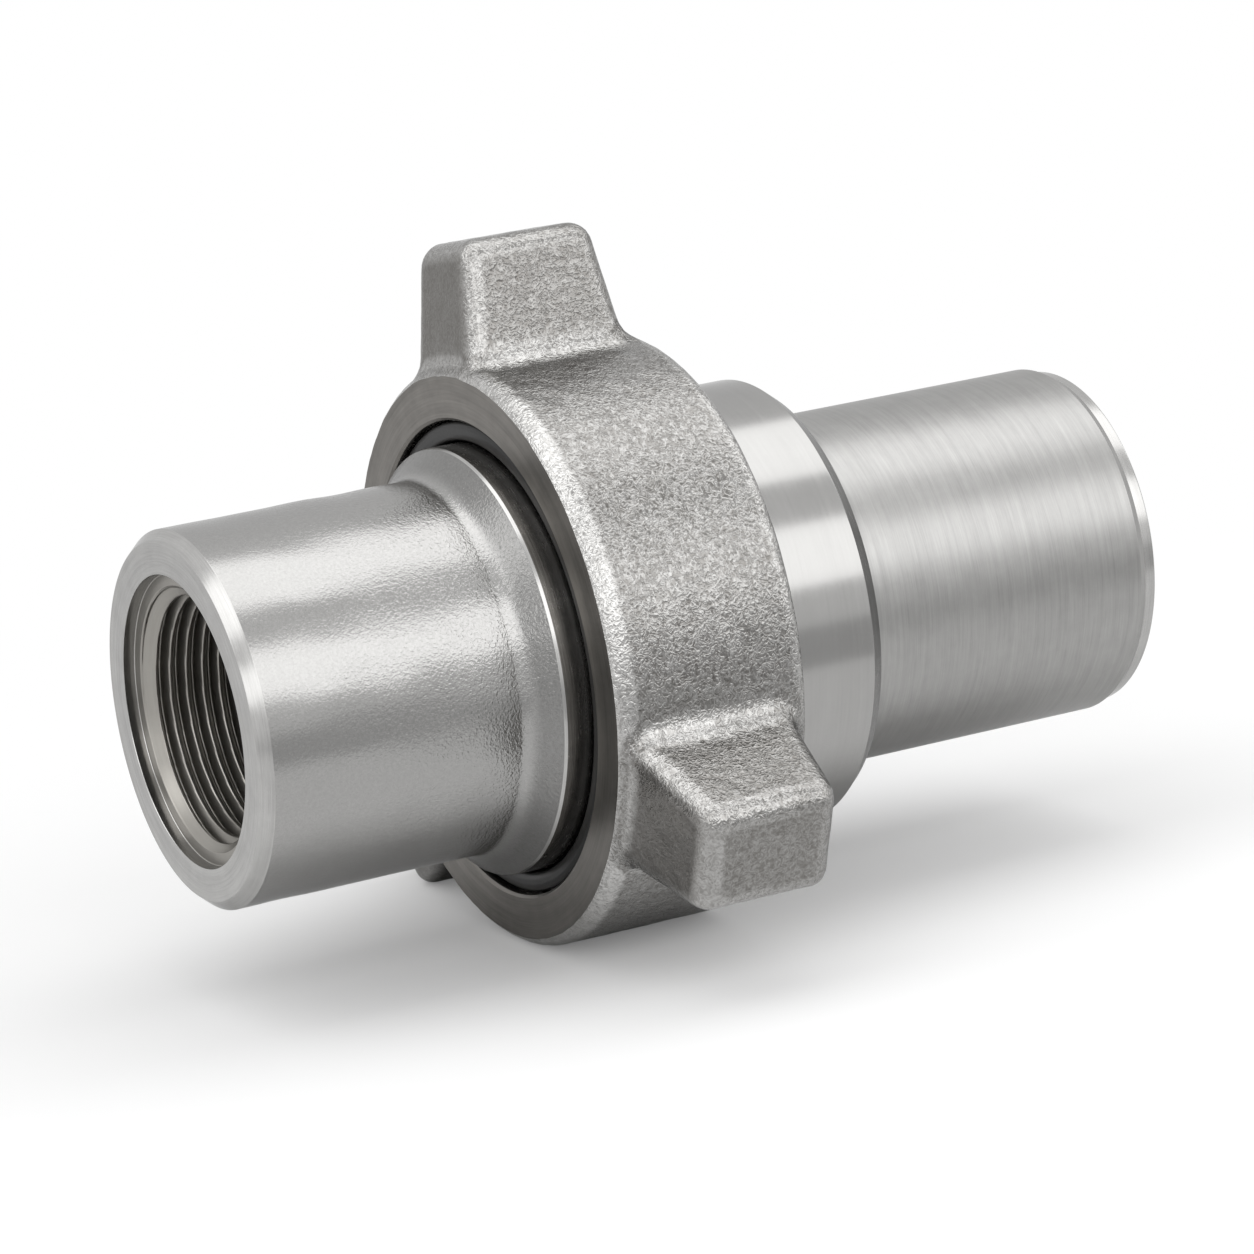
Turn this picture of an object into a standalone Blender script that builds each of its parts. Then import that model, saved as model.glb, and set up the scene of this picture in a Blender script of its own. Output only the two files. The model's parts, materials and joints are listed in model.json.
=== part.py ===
"""A three-lug hammer union for 1 inch pipe: threaded sub, wing nut, weld-end sub and two rubber rings.

Everything is turned about one line, the union's axis, which lies along X. Axial places are measured from
the wing nut's front face, positive towards the weld end. The union lies on the floor as it would come to
rest: on the nut's rim and on the corner of one lug. All lengths are in metres.
"""

import math

import bmesh
import bpy
from mathutils import Matrix, Vector

# Pipe size: the pipe thread's radius at its mouth, from which the other radii follow by walls and steps
SOCKET_RADIUS = 0.0162

# Threaded sub: the hub with the pipe-thread socket
HUB_WALL = 0.0078
HUB_LENGTH = 0.0416
HUB_CHAMFER_DEPTH = 0.00135
HUB_CHAMFER_LENGTH = 0.00155
COUNTERBORE_STEP = 0.0023
COUNTERBORE_DEPTH = 0.0017
SOCKET_CHAMFER = 0.0007
SOCKET_DEPTH = 0.0240
PIPE_TAPER_ANGLE = math.atan(1 / 32)
BORE_STEP = 0.0029
BORE_CONE_LENGTH = 0.0020
NOSE_TIP_CHAMFER = 0.0005

# Threaded sub: collar, shoulder and ball nose
COLLAR_HEIGHT = 0.0035
COLLAR_REACH = 0.0024
COLLAR_CONE_ANGLE = math.radians(22)
COLLAR_FILLET_RADIUS = 0.0120
COLLAR_EDGE = 0.0003
SHOULDER_HEIGHT = 0.0039
SHOULDER_THICKNESS = 0.0050
SHOULDER_CHAMFER = 0.0006
NOSE_ROOT_STEP = 0.0052
NOSE_TIP_LAND = 0.0037
NOSE_LENGTH = 0.0107

# Coarse trapezoidal thread between the nut and the weld sub, right-handed
THREAD_PITCH = 0.00508
THREAD_DEPTH = 0.0020
THREAD_FLANK_ANGLE = math.radians(14.5)
THREAD_CLEARANCE = 0.00035

# Wing nut
NUT_WALL = 0.00375
NUT_LENGTH = 0.0257
NUT_MOUTH_WIDTH = 0.0031
NUT_MOUTH_DEPTH = 0.0032
NUT_MOUTH_CHAMFER = 0.0003
NUT_FRONT_ROUND_LENGTH = 0.0024
NUT_FRONT_ROUND_HEIGHT = 0.0016
NUT_REAR_ROUND = 0.0013
NUT_LIP_THICKNESS = 0.0038
NUT_LIP_CLEARANCE = 0.0006
NUT_RELIEF_LENGTH = 0.0056
NUT_RELIEF_RUNOUT = 0.0008
NUT_RELIEF_MARGIN = 0.0001
NUT_ENTRY_CHAMFER = 0.0014

# Lugs of the wing nut
LUG_COUNT = 3
LUG_HEIGHT = 0.0150
LUG_BASE_WIDTH = 0.0176
LUG_TIP_WIDTH = 0.0146
LUG_FRONT_SETBACK = 0.0008
LUG_FRONT_LEAN = 0.0028
LUG_REAR_SETBACK = 0.0022
LUG_REAR_LEAN = 0.0018
LUG_EDGE_RADIUS = 0.0026
LUG_TIP_ROUND = 0.0030
LUG_TIP_SIDE_ROUND = 0.0018
LUG_FILLET_RADIUS = 0.0026
LUG_REAR_FILLET = 0.0012
LUG_TIP_CORNER = 0.0008
LUG_ROOT_DEPTH = 0.0020

# Weld-end sub
HEAD_GAP = 0.0010
HEAD_CHAMFER = 0.0012
HEAD_REAR_MARGIN = 0.0004
BAND_STEP = 0.0024
BAND_LENGTH = 0.0168
BAND_CHAMFER = 0.0009
WELD_STEP = 0.0060
WELD_LENGTH = 0.0444
WELD_STEP_FILLET = 0.0010
WELD_BEVEL_LENGTH = 0.0024
WELD_BEVEL_DEPTH = 0.0006
WELD_WALL = 0.0068
WELD_BORE_LENGTH = 0.0144
WELD_BORE_CONE_LENGTH = 0.0120
WELD_BORE_CHAMFER = 0.0005
SEAT_STEP = 0.0030
SEAL_WALL = 0.0025
SEAL_RECESS_DEPTH = 0.0037

# Rubber rings
RING_FRONT = 0.0008
RING_THICKNESS = 0.0021
RING_CROWN = 0.0008

# Running gap between neighbours, and the overrun of every cut and joint
GAP = 0.0003
OVERRUN = 0.0010

# Steps round a turned piece, a turn of thread, short arcs and a lug's corner, and halvings in a search
TURN_STEPS = 64
THREAD_STEPS = 48
ARC_STEPS = 4
NOSE_STEPS = 6
CORNER_STEPS = 4
BISECTIONS = 40
SHARP_ANGLE = math.radians(35)

# Radii that follow from the sizes above, from the bore outwards
bore_radius = SOCKET_RADIUS - BORE_STEP
counterbore_radius = SOCKET_RADIUS + COUNTERBORE_STEP
hub_radius = SOCKET_RADIUS + HUB_WALL
collar_radius = hub_radius + COLLAR_HEIGHT
thread_core_radius = collar_radius + SHOULDER_HEIGHT
thread_crest_radius = thread_core_radius + THREAD_DEPTH
nose_root_radius = thread_core_radius - NOSE_ROOT_STEP
nose_tip_radius = bore_radius + NOSE_TIP_LAND
seat_radius = nose_tip_radius + SEAT_STEP
seal_recess_radius = thread_core_radius - SEAL_WALL
band_radius = thread_core_radius - BAND_STEP
weld_radius = band_radius - WELD_STEP
weld_bore_radius = weld_radius - WELD_WALL
lip_radius = collar_radius + NUT_LIP_CLEARANCE
nut_mouth_radius = collar_radius + NUT_MOUTH_WIDTH
nut_minor_radius = thread_core_radius + THREAD_CLEARANCE
nut_major_radius = thread_crest_radius + THREAD_CLEARANCE
relief_radius = nut_major_radius + NUT_RELIEF_MARGIN
nut_radius = nut_major_radius + NUT_WALL
lug_tip_radius = nut_radius + LUG_HEIGHT

# Places along the axis that follow from the sizes above
lip_rear = NUT_MOUTH_DEPTH + NUT_LIP_THICKNESS
shoulder_front = lip_rear + GAP
shoulder_rear = shoulder_front + SHOULDER_THICKNESS
nose_tip = shoulder_rear + NOSE_LENGTH
nut_thread_start = lip_rear + NUT_RELIEF_LENGTH
head_front = shoulder_rear + HEAD_GAP
head_rear = NUT_LENGTH - HEAD_REAR_MARGIN
band_rear = head_rear + BAND_LENGTH
weld_end = band_rear + WELD_LENGTH
union_middle = (weld_end - HUB_LENGTH) / 2


def ball_nose():
    """Centre place and radius of the ball through the nose's root and tip circles."""
    u_root, u_tip = shoulder_rear, nose_tip
    centre = (u_tip**2 + nose_tip_radius**2 - u_root**2 - nose_root_radius**2) / (2 * (u_tip - u_root))
    return centre, math.hypot(u_root - centre, nose_root_radius)


def arc(centre, radii, start, end, steps):
    """Points (u, r) on an ellipse about centre, from angle start to end, both ends included."""
    angles = [start + (end - start) * i / steps for i in range(steps + 1)]
    return [(centre[0] + radii[0] * math.cos(a), centre[1] + radii[1] * math.sin(a)) for a in angles]


def material(name, colour, metallic, roughness):
    """A plain Principled material."""
    mat = bpy.data.materials.new(name)
    mat.use_nodes = True
    shader = mat.node_tree.nodes["Principled BSDF"]
    shader.inputs["Base Color"].default_value = (*colour, 1)
    shader.inputs["Metallic"].default_value = metallic
    shader.inputs["Roughness"].default_value = roughness
    mat.diffuse_color = (*colour, 1)
    return mat


def new_object(name, bm, mat=None):
    """An object on the union's axis from a bmesh, shaded smooth with sharp edges kept."""
    bmesh.ops.recalc_face_normals(bm, faces=bm.faces)
    mesh = bpy.data.meshes.new(name)
    bm.to_mesh(mesh)
    bm.free()
    mesh.shade_smooth()
    mesh.set_sharp_from_angle(angle=SHARP_ANGLE)
    if mat:
        mesh.materials.append(mat)
    obj = bpy.data.objects.new(name, mesh)
    bpy.context.scene.collection.objects.link(obj)
    return obj


def turned(name, outline, mat):
    """Turns a closed outline of (u, r) points about X, with a flat facet facing the floor."""
    bm = bmesh.new()
    half_step = math.pi / TURN_STEPS
    verts = [bm.verts.new((u, r * math.sin(half_step), r * math.cos(half_step))) for u, r in outline]
    edges = [bm.edges.new((verts[i - 1], verts[i])) for i in range(len(verts))]
    bmesh.ops.spin(bm, geom=verts + edges, axis=(1, 0, 0), cent=(0, 0, 0), dvec=(0, 0, 0),
                   angle=2 * math.pi, steps=TURN_STEPS, use_merge=True, use_duplicate=False)
    return new_object(name, bm, mat)


def boolean(target, tool, operation):
    """Adds an exact Boolean of a hidden tool object to the target."""
    tool.hide_render = True
    tool.display_type = 'WIRE'
    modifier = target.modifiers.new(tool.name, 'BOOLEAN')
    modifier.operation = operation
    modifier.solver = 'EXACT'
    modifier.object = tool


def helical_cutter(name, inner, outer, half_width, widening, shift, start, end):
    """A closed trapezoidal bar on a right-hand helix about X, for cutting a groove of the coarse thread.

    The bar is centred at u = THREAD_PITCH * angle / (2 pi) + shift on every turn, so the ridges left by a
    groove half a pitch away are in mesh with it. Its half width is stated at the thread's middle radius and
    grows outwards by widening times the radius.
    """
    middle = thread_core_radius + THREAD_DEPTH / 2
    first = math.ceil((start - shift) / THREAD_PITCH * THREAD_STEPS)
    last = math.floor((end - shift) / THREAD_PITCH * THREAD_STEPS)
    bm = bmesh.new()
    sections = []
    for k in range(first, last + 1):
        angle = 2 * math.pi * k / THREAD_STEPS
        centre = THREAD_PITCH * k / THREAD_STEPS + shift
        section = []
        for side, radius in ((-1, inner), (-1, outer), (1, outer), (1, inner)):
            u = centre + side * (half_width + (radius - middle) * widening)
            section.append(bm.verts.new((u, radius * math.cos(angle), radius * math.sin(angle))))
        sections.append(section)
    for near, far in zip(sections, sections[1:]):
        for i in range(4):
            bm.faces.new((near[i - 1], near[i], far[i], far[i - 1]))
    bm.faces.new(sections[0])
    bm.faces.new(reversed(sections[-1]))
    return new_object(name, bm)


def lug_lean():
    """How far the top lug leans back when the nut rests on its rim and on the corner of the rear lug.

    A lug at angle a from straight down reaches (R - h) cos a + (w - s) sin a + hypot(h cos a, s sin a) below
    the axis, with tip radius R, half width w, and the corner's rounding h high and s wide. Halving the range
    of a finds where that equals the height of the axis over the rim's lowest facet.
    """
    rim = nut_radius * math.cos(math.pi / TURN_STEPS)
    side = LUG_TIP_WIDTH / 2 - LUG_TIP_SIDE_ROUND
    height = lug_tip_radius - LUG_TIP_ROUND
    low, high = 0, math.pi / 2
    for _ in range(BISECTIONS):
        angle = (low + high) / 2
        rounding = math.hypot(LUG_TIP_ROUND * math.cos(angle), LUG_TIP_SIDE_ROUND * math.sin(angle))
        reach = height * math.cos(angle) + side * math.sin(angle) + rounding
        low, high = (angle, high) if reach > rim else (low, angle)
    return math.pi / LUG_COUNT - low


def lug_section(front, rear, half_width, corner):
    """Points (u, s) of a rectangle with rounded corners, once round."""
    centres = ((rear - corner, half_width - corner), (front + corner, half_width - corner),
               (front + corner, corner - half_width), (rear - corner, corner - half_width))
    points = []
    for quarter, centre in enumerate(centres):
        start = quarter * math.pi / 2
        points += arc(centre, (corner, corner), start, start + math.pi / 2, CORNER_STEPS)
    return points


def lug(name, turn):
    """A tapered lug: rounded sections lofted from inside the nut, over a root fillet, to a rounded tip."""
    bm = bmesh.new()
    tip_start = lug_tip_radius - LUG_TIP_ROUND
    rings = []

    def add_ring(height, flare_share, inset_share, follows_nut):
        share = max(0, height) / LUG_HEIGHT
        inset = LUG_TIP_ROUND * inset_share
        front = LUG_FRONT_SETBACK + LUG_FRONT_LEAN * share + inset
        rear = NUT_LENGTH - LUG_REAR_SETBACK - LUG_REAR_LEAN * share + LUG_REAR_FILLET * flare_share - inset
        half_width = (LUG_BASE_WIDTH + (LUG_TIP_WIDTH - LUG_BASE_WIDTH) * share) / 2
        half_width += LUG_FILLET_RADIUS * flare_share - LUG_TIP_SIDE_ROUND * inset_share
        corner = LUG_EDGE_RADIUS - (LUG_EDGE_RADIUS - LUG_TIP_CORNER) * inset_share
        ring = []
        for u, s in lug_section(front, rear, half_width, corner):
            base = math.sqrt(nut_radius**2 - s**2) if follows_nut else nut_radius
            ring.append(bm.verts.new((u, s, base + height)))
        rings.append(ring)

    add_ring(-LUG_ROOT_DEPTH, 1, 0, True)
    for i in range(1, ARC_STEPS):
        angle = math.pi / 2 * i / (ARC_STEPS - 1)
        add_ring(LUG_FILLET_RADIUS * (1 - math.cos(angle)), 1 - math.sin(angle), 0, True)
    for i in range(ARC_STEPS):
        angle = math.pi / 2 * i / (ARC_STEPS - 1)
        add_ring(tip_start + LUG_TIP_ROUND * math.sin(angle) - nut_radius, 0, 1 - math.cos(angle), False)
    for low, high in zip(rings, rings[1:]):
        for i in range(len(low)):
            bm.faces.new((low[i - 1], low[i], high[i], high[i - 1]))
    bm.faces.new(rings[0])
    bm.faces.new(rings[-1])
    bm.transform(Matrix.Rotation(turn, 4, 'X'))
    return new_object(name, bm)


def threaded_sub(mat):
    """The hub with its socket, flared collar, shoulder and ball nose, turned in one piece."""
    front = -HUB_LENGTH
    slope = Vector((math.cos(COLLAR_CONE_ANGLE), math.sin(COLLAR_CONE_ANGLE)))
    cone_start = -COLLAR_REACH - (collar_radius - hub_radius) / math.tan(COLLAR_CONE_ANGLE)
    tangent = COLLAR_FILLET_RADIUS * math.tan(COLLAR_CONE_ANGLE / 2)
    flare = arc((cone_start - tangent, hub_radius + COLLAR_FILLET_RADIUS), (COLLAR_FILLET_RADIUS,) * 2,
                -math.pi / 2, COLLAR_CONE_ANGLE - math.pi / 2, ARC_STEPS)
    centre, ball = ball_nose()
    root_angle = math.atan2(nose_root_radius, shoulder_rear - centre)
    tip_angle = math.atan2(nose_tip_radius, nose_tip - centre)
    nose = arc((centre, 0), (ball, ball), root_angle, tip_angle, NOSE_STEPS)
    rim = thread_core_radius - SHOULDER_CHAMFER
    socket_floor = front + SOCKET_DEPTH
    socket_start = front + COUNTERBORE_DEPTH
    end_radius = SOCKET_RADIUS - (SOCKET_DEPTH - COUNTERBORE_DEPTH) * math.tan(PIPE_TAPER_ANGLE)
    outline = [
        (front, counterbore_radius),
        (front, hub_radius - HUB_CHAMFER_DEPTH),
        (front + HUB_CHAMFER_LENGTH, hub_radius),
        *flare,
        (-COLLAR_REACH - COLLAR_EDGE * slope.x, collar_radius - COLLAR_EDGE * slope.y),
        (-COLLAR_REACH + COLLAR_EDGE, collar_radius),
        (shoulder_front, collar_radius),
        (shoulder_front, rim),
        (shoulder_front + SHOULDER_CHAMFER, thread_core_radius),
        (shoulder_rear - SHOULDER_CHAMFER, thread_core_radius),
        (shoulder_rear, rim),
        *nose,
        (nose_tip, bore_radius + NOSE_TIP_CHAMFER),
        (nose_tip - NOSE_TIP_CHAMFER, bore_radius),
        (socket_floor + BORE_CONE_LENGTH, bore_radius),
        (socket_floor, end_radius),
        (socket_start + SOCKET_CHAMFER, SOCKET_RADIUS),
        (socket_start, SOCKET_RADIUS + SOCKET_CHAMFER),
        (socket_start, counterbore_radius),
    ]
    return turned("threaded_sub", outline, mat)


def wing_nut(mat):
    """The nut's turned body with its inner lip, joined to three lugs and cut by the thread's groove."""
    front_round = arc((NUT_FRONT_ROUND_LENGTH, nut_radius - NUT_FRONT_ROUND_HEIGHT),
                      (-NUT_FRONT_ROUND_LENGTH, NUT_FRONT_ROUND_HEIGHT), 0, math.pi / 2, ARC_STEPS)
    rear_round = arc((NUT_LENGTH - NUT_REAR_ROUND, nut_radius - NUT_REAR_ROUND), (NUT_REAR_ROUND,) * 2,
                     math.pi / 2, 0, ARC_STEPS - 1)
    outline = [
        (0, nut_mouth_radius + NUT_MOUTH_CHAMFER),
        *front_round,
        *rear_round,
        (NUT_LENGTH, nut_minor_radius + NUT_ENTRY_CHAMFER),
        (NUT_LENGTH - NUT_ENTRY_CHAMFER, nut_minor_radius),
        (nut_thread_start + NUT_RELIEF_RUNOUT, nut_minor_radius),
        (nut_thread_start, relief_radius),
        (lip_rear, relief_radius),
        (lip_rear, lip_radius),
        (NUT_MOUTH_DEPTH, lip_radius),
        (NUT_MOUTH_DEPTH, nut_mouth_radius),
        (NUT_MOUTH_CHAMFER, nut_mouth_radius),
    ]
    nut = turned("wing_nut", outline, mat)
    lugs = []
    lean = lug_lean()
    for i in range(LUG_COUNT):
        lugs.append(lug(f"lug_{i + 1}", i * 2 * math.pi / LUG_COUNT - lean))
        boolean(nut, lugs[-1], 'UNION')
    groove = helical_cutter("nut_thread_groove", thread_core_radius - OVERRUN, nut_major_radius,
                            THREAD_PITCH / 4 + THREAD_CLEARANCE, -math.tan(THREAD_FLANK_ANGLE), 0,
                            nut_thread_start - THREAD_PITCH / 4, NUT_LENGTH + THREAD_PITCH)
    boolean(nut, groove, 'DIFFERENCE')
    return nut, lugs, groove


def weld_sub(mat):
    """The threaded head with its cone seat and seal recess, the band, and the weld end with its bevel."""
    centre, ball = ball_nose()
    seat_angle = math.asin(seat_radius / ball)
    cone_slope = 1 / math.tan(seat_angle)
    seat_u = centre + (ball + GAP) * math.cos(seat_angle)
    seat_r = (ball + GAP) * math.sin(seat_angle)
    recess_floor = head_front + SEAL_RECESS_DEPTH
    step_fillet = arc((band_rear + WELD_STEP_FILLET, weld_radius + WELD_STEP_FILLET), (WELD_STEP_FILLET,) * 2,
                      -math.pi, -math.pi / 2, ARC_STEPS - 1)
    bore_cone = weld_end - WELD_BORE_LENGTH
    outline = [
        (head_front, seal_recess_radius),
        (head_front, thread_crest_radius - HEAD_CHAMFER),
        (head_front + HEAD_CHAMFER, thread_crest_radius),
        (head_rear - HEAD_CHAMFER, thread_crest_radius),
        (head_rear, thread_crest_radius - HEAD_CHAMFER),
        (head_rear, band_radius),
        (band_rear - BAND_CHAMFER, band_radius),
        (band_rear, band_radius - BAND_CHAMFER),
        *step_fillet,
        (weld_end - WELD_BEVEL_LENGTH, weld_radius),
        (weld_end, weld_radius - WELD_BEVEL_DEPTH),
        (weld_end, weld_bore_radius + WELD_BORE_CHAMFER),
        (weld_end - WELD_BORE_CHAMFER, weld_bore_radius),
        (bore_cone, weld_bore_radius),
        (bore_cone - WELD_BORE_CONE_LENGTH, bore_radius),
        (seat_u + (seat_r - bore_radius) / cone_slope, bore_radius),
        (recess_floor, seat_r + (seat_u - recess_floor) * cone_slope),
        (recess_floor, seal_recess_radius),
    ]
    sub = turned("weld_sub", outline, mat)
    groove = helical_cutter("sub_thread_groove", thread_core_radius, thread_crest_radius + OVERRUN,
                            THREAD_PITCH / 4, math.tan(THREAD_FLANK_ANGLE), THREAD_PITCH / 2,
                            head_front - THREAD_PITCH, head_rear + THREAD_PITCH)
    boolean(sub, groove, 'DIFFERENCE')
    return sub, groove


def seal_ring(mat):
    """The rubber seal in the weld sub's recess, its inner face parallel to the ball nose."""
    centre, ball = ball_nose()
    front = head_front + GAP
    rear = head_front + SEAL_RECESS_DEPTH - GAP
    face = [(u, math.sqrt((ball + GAP) ** 2 - (u - centre) ** 2)) for u in (rear, (front + rear) / 2, front)]
    outer = seal_recess_radius - GAP
    return turned("seal_ring", [*face, (front, outer - GAP), (front + GAP, outer), (rear, outer)], mat)


def mouth_ring(mat):
    """The rubber ring on the collar, in the nut's mouth, with a rounded front."""
    inner, outer = collar_radius + GAP, nut_mouth_radius - GAP
    crown = arc((RING_FRONT + RING_CROWN, (inner + outer) / 2), (RING_CROWN, (outer - inner) / 2),
                math.pi / 2, 3 * math.pi / 2, ARC_STEPS)
    rear = RING_FRONT + RING_THICKNESS
    return turned("mouth_ring", [*crown, (rear, inner), (rear, outer)], mat)


def rest_place(lugs):
    """Where the union's axis lies when the nut rests on z = 0 and the box is centred over the origin."""
    points = [vertex.co for obj in lugs for vertex in obj.data.vertices]
    lowest = min(min(p.z for p in points), -nut_radius * math.cos(math.pi / TURN_STEPS))
    sides = [p.y for p in points]
    return Vector((-union_middle, -(min(sides) + max(sides)) / 2, -lowest))


def main():
    for obj in list(bpy.data.objects):
        bpy.data.objects.remove(obj, do_unlink=True)
    satin = material("satin_forged_steel", (0.56, 0.56, 0.55), 1, 0.38)
    cast = material("shot_blasted_steel", (0.42, 0.42, 0.41), 1, 0.48)
    brushed = material("brushed_steel", (0.60, 0.60, 0.59), 1, 0.28)
    rubber = material("black_rubber", (0.02, 0.02, 0.02), 0, 0.55)
    nitrile = material("dark_nitrile", (0.03, 0.03, 0.03), 0, 0.60)

    nut, lugs, nut_groove = wing_nut(cast)
    sub, sub_groove = weld_sub(brushed)
    pieces = [threaded_sub(satin), nut, *lugs, nut_groove, sub, sub_groove]
    pieces += [seal_ring(nitrile), mouth_ring(rubber)]

    axis = bpy.data.objects.new("union_axis", None)
    axis.location = rest_place(lugs)
    bpy.context.scene.collection.objects.link(axis)
    for piece in pieces:
        piece.parent = axis
    bpy.context.view_layer.update()


main()
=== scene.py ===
# %% [markdown]
# A hammer union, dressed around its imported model
#
# A hammer union joins two ends of pressure pipe. The left sub takes a threaded pipe, the right sub is welded
# on, and a forged nut with three lugs pulls them together under the blows of a hammer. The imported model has
# these pieces at their true size, but with flat facets and no finish. This script makes each one again as a
# fine surface worked out with numpy: the pipe thread in the socket, the forged skin of the nut with its soft
# fillets, the small rounding on every machined edge. Then each surface gets the finish that its making leaves.
#
# All shapes are drawn in millimetres in the union's own coordinates: u runs along the axis from the nut's
# front face towards the weld end, and r and psi go round that axis, with psi 90 degrees straight up.

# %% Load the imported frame
import math

import bpy
import numpy as np
from mathutils import Matrix, Vector
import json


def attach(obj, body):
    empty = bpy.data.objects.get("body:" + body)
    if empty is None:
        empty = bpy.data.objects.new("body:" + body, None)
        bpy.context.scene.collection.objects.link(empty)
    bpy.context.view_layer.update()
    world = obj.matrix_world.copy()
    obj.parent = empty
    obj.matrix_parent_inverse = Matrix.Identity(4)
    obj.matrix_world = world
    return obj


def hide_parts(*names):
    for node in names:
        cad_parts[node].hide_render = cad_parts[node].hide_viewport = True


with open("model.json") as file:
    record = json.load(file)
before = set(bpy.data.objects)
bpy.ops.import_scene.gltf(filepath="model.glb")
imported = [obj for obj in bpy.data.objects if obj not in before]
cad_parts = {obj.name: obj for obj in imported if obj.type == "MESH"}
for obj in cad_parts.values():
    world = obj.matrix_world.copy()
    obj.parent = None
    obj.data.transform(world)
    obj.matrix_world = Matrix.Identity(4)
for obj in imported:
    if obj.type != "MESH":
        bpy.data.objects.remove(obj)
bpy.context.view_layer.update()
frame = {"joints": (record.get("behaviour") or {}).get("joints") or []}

MM = 0.001
nut_turn = next(joint for joint in frame["joints"] if joint["name"] == "nut_turn")
nut_front = Vector(nut_turn["pos_m"])
print("nut's front face centre:", [round(value, 6) for value in nut_front])

# %% [markdown]
# The turned pieces are all made the same way, as on a lathe: an outline in the (u, r) plane is carried round
# the axis. Real machined edges are never perfectly sharp. A lathe leaves a break of a tenth of a millimetre or
# two, and the thin bright line it makes is what tells the eye that a part is metal. A Bevel modifier could
# round the edges afterwards, but here each corner of the outline is rounded before it is turned, because then
# every edge can have the radius that the real one has. The first helper makes the arc in one corner.

# %% An arc in a corner
def corner_arc(before, corner, after, radius, steps):
    """An arc of that radius that touches both sides of a corner.

    The centre lies on the bisector, radius / sin(half angle) from the corner, and the points are the spherical
    interpolation between the two radii that meet the sides at right angles.
    """
    to_before = (before - corner) / np.linalg.norm(before - corner)
    to_after = (after - corner) / np.linalg.norm(after - corner)
    half = math.acos(np.clip(to_before @ to_after, -1, 1)) / 2
    bisector = (to_before + to_after) / np.linalg.norm(to_before + to_after)
    centre = corner + bisector * radius / math.sin(half)
    first = corner + to_before * radius / math.tan(half) - centre
    last = corner + to_after * radius / math.tan(half) - centre
    sweep = math.pi - 2 * half
    t = np.linspace(0, 1, steps + 1)[:, None]
    return centre + (np.sin((1 - t) * sweep) * first + np.sin(t * sweep) * last) / math.sin(sweep)


# %% [markdown]
# The second helper walks along a list of corners, puts the arcs in and cuts the straight runs into steps.
# Smooth shading spreads the bend of an edge over the faces beside it, and a large flat face would then look
# bulged. So one very short step stands beside every arc and takes up that spread.

# %% Outlines with rounded corners
EDGE_HOLD = 0.07
CORNER_STEPS = 5
SHORTEST_CUT_RUN = 3 * EDGE_HOLD
WHOLE_STEP_SHARE = 1.5


def rounded_outline(corners, spacing, closed=True):
    """Outline from (u, r, rounding, zone) corners: points (n, 2), and the zone of the run after each point.

    A straight run is cut into steps of about the spacing, with a step of EDGE_HOLD at each of its ends. The
    zone is the number of the finish on the run that leaves the corner. An open outline ends at its last corner.
    """
    places = np.array([corner[:2] for corner in corners], float)
    arcs = []
    for i, (_, _, rounding, _) in enumerate(corners):
        before, after = places[i - 1], places[(i + 1) % len(corners)]
        steps = max(CORNER_STEPS, round(rounding / spacing))
        arcs.append(corner_arc(before, places[i], after, rounding, steps) if rounding else places[i][None])
    points, zones = [], []
    for i, arc in enumerate(arcs):
        start, end = arc[-1], arcs[(i + 1) % len(arcs)][0]
        length = np.linalg.norm(end - start)
        inner = np.linspace(EDGE_HOLD, length - EDGE_HOLD, max(2, round(length / spacing)))
        if length < SHORTEST_CUT_RUN or len(arc) == 1 and length < WHOLE_STEP_SHARE * spacing:
            inner = np.empty(0)
        run = start + (end - start) * inner[:, None] / max(length, EDGE_HOLD)
        points += [arc, run]
        zones.append(np.full(len(arc) + len(run), corners[i][3]))
        zones[-1][: len(arc) // 2] = corners[i - 1][3]
        if i + 1 == len(arcs) and not closed:
            points[-1], zones[-1] = run[:0], zones[-1][: len(arc)]
    return np.concatenate(points), np.concatenate(zones)


# %% [markdown]
# Blender meshes can be filled straight from numpy arrays, which is much faster than adding faces one by one.
# Two small helpers come first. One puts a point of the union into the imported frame. The other measures the
# volume that a set of faces encloses: if it comes out negative, the faces point inwards and have to be turned.

# %% Places in the frame, and enclosed volume
def in_frame(u, y, z):
    """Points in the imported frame's metres from the union's own millimetres: nut_front + (u, y, z) * MM."""
    return np.stack(np.broadcast_arrays(u, y, z), axis=-1) * MM + np.array(nut_front)


def enclosed_volume(vertices, groups):
    """Signed volume inside the faces: the sum over fan triangles of a . (b x c) / 6."""
    total = 0.0
    for faces, _ in groups:
        for i in range(1, faces.shape[1] - 1):
            a, b, c = (vertices[faces[:, k]] for k in (0, i, i + 1))
            total += np.einsum("ij,ij->", a, np.cross(b, c)) / 6
    return total


# %% [markdown]
# All pieces are shaded smooth, but where a lathe cut meets the forged skin of the nut there is a true crease.
# Such a line is a closed ring of vertices. Its edges are found among all edges by one number for each pair of
# ends, and marked sharp.

# %% Crisp rings
def mark_crisp(mesh, rings):
    """Marks the edges of closed rings of vertices as sharp."""
    ends = np.empty(2 * len(mesh.edges), np.int32)
    mesh.edges.foreach_get("vertices", ends)
    key = np.sort(ends.reshape(-1, 2).astype(np.int64), axis=1) @ (len(mesh.vertices), 1)
    crisp = np.zeros(len(mesh.edges), bool)
    for ring in rings:
        pairs = np.sort(np.stack((ring, np.roll(ring, -1)), axis=1), axis=1)
        crisp |= np.isin(key, pairs @ (len(mesh.vertices), 1))
    mesh.attributes.new("sharp_edge", "BOOLEAN", "EDGE").data.foreach_set("value", crisp)


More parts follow.
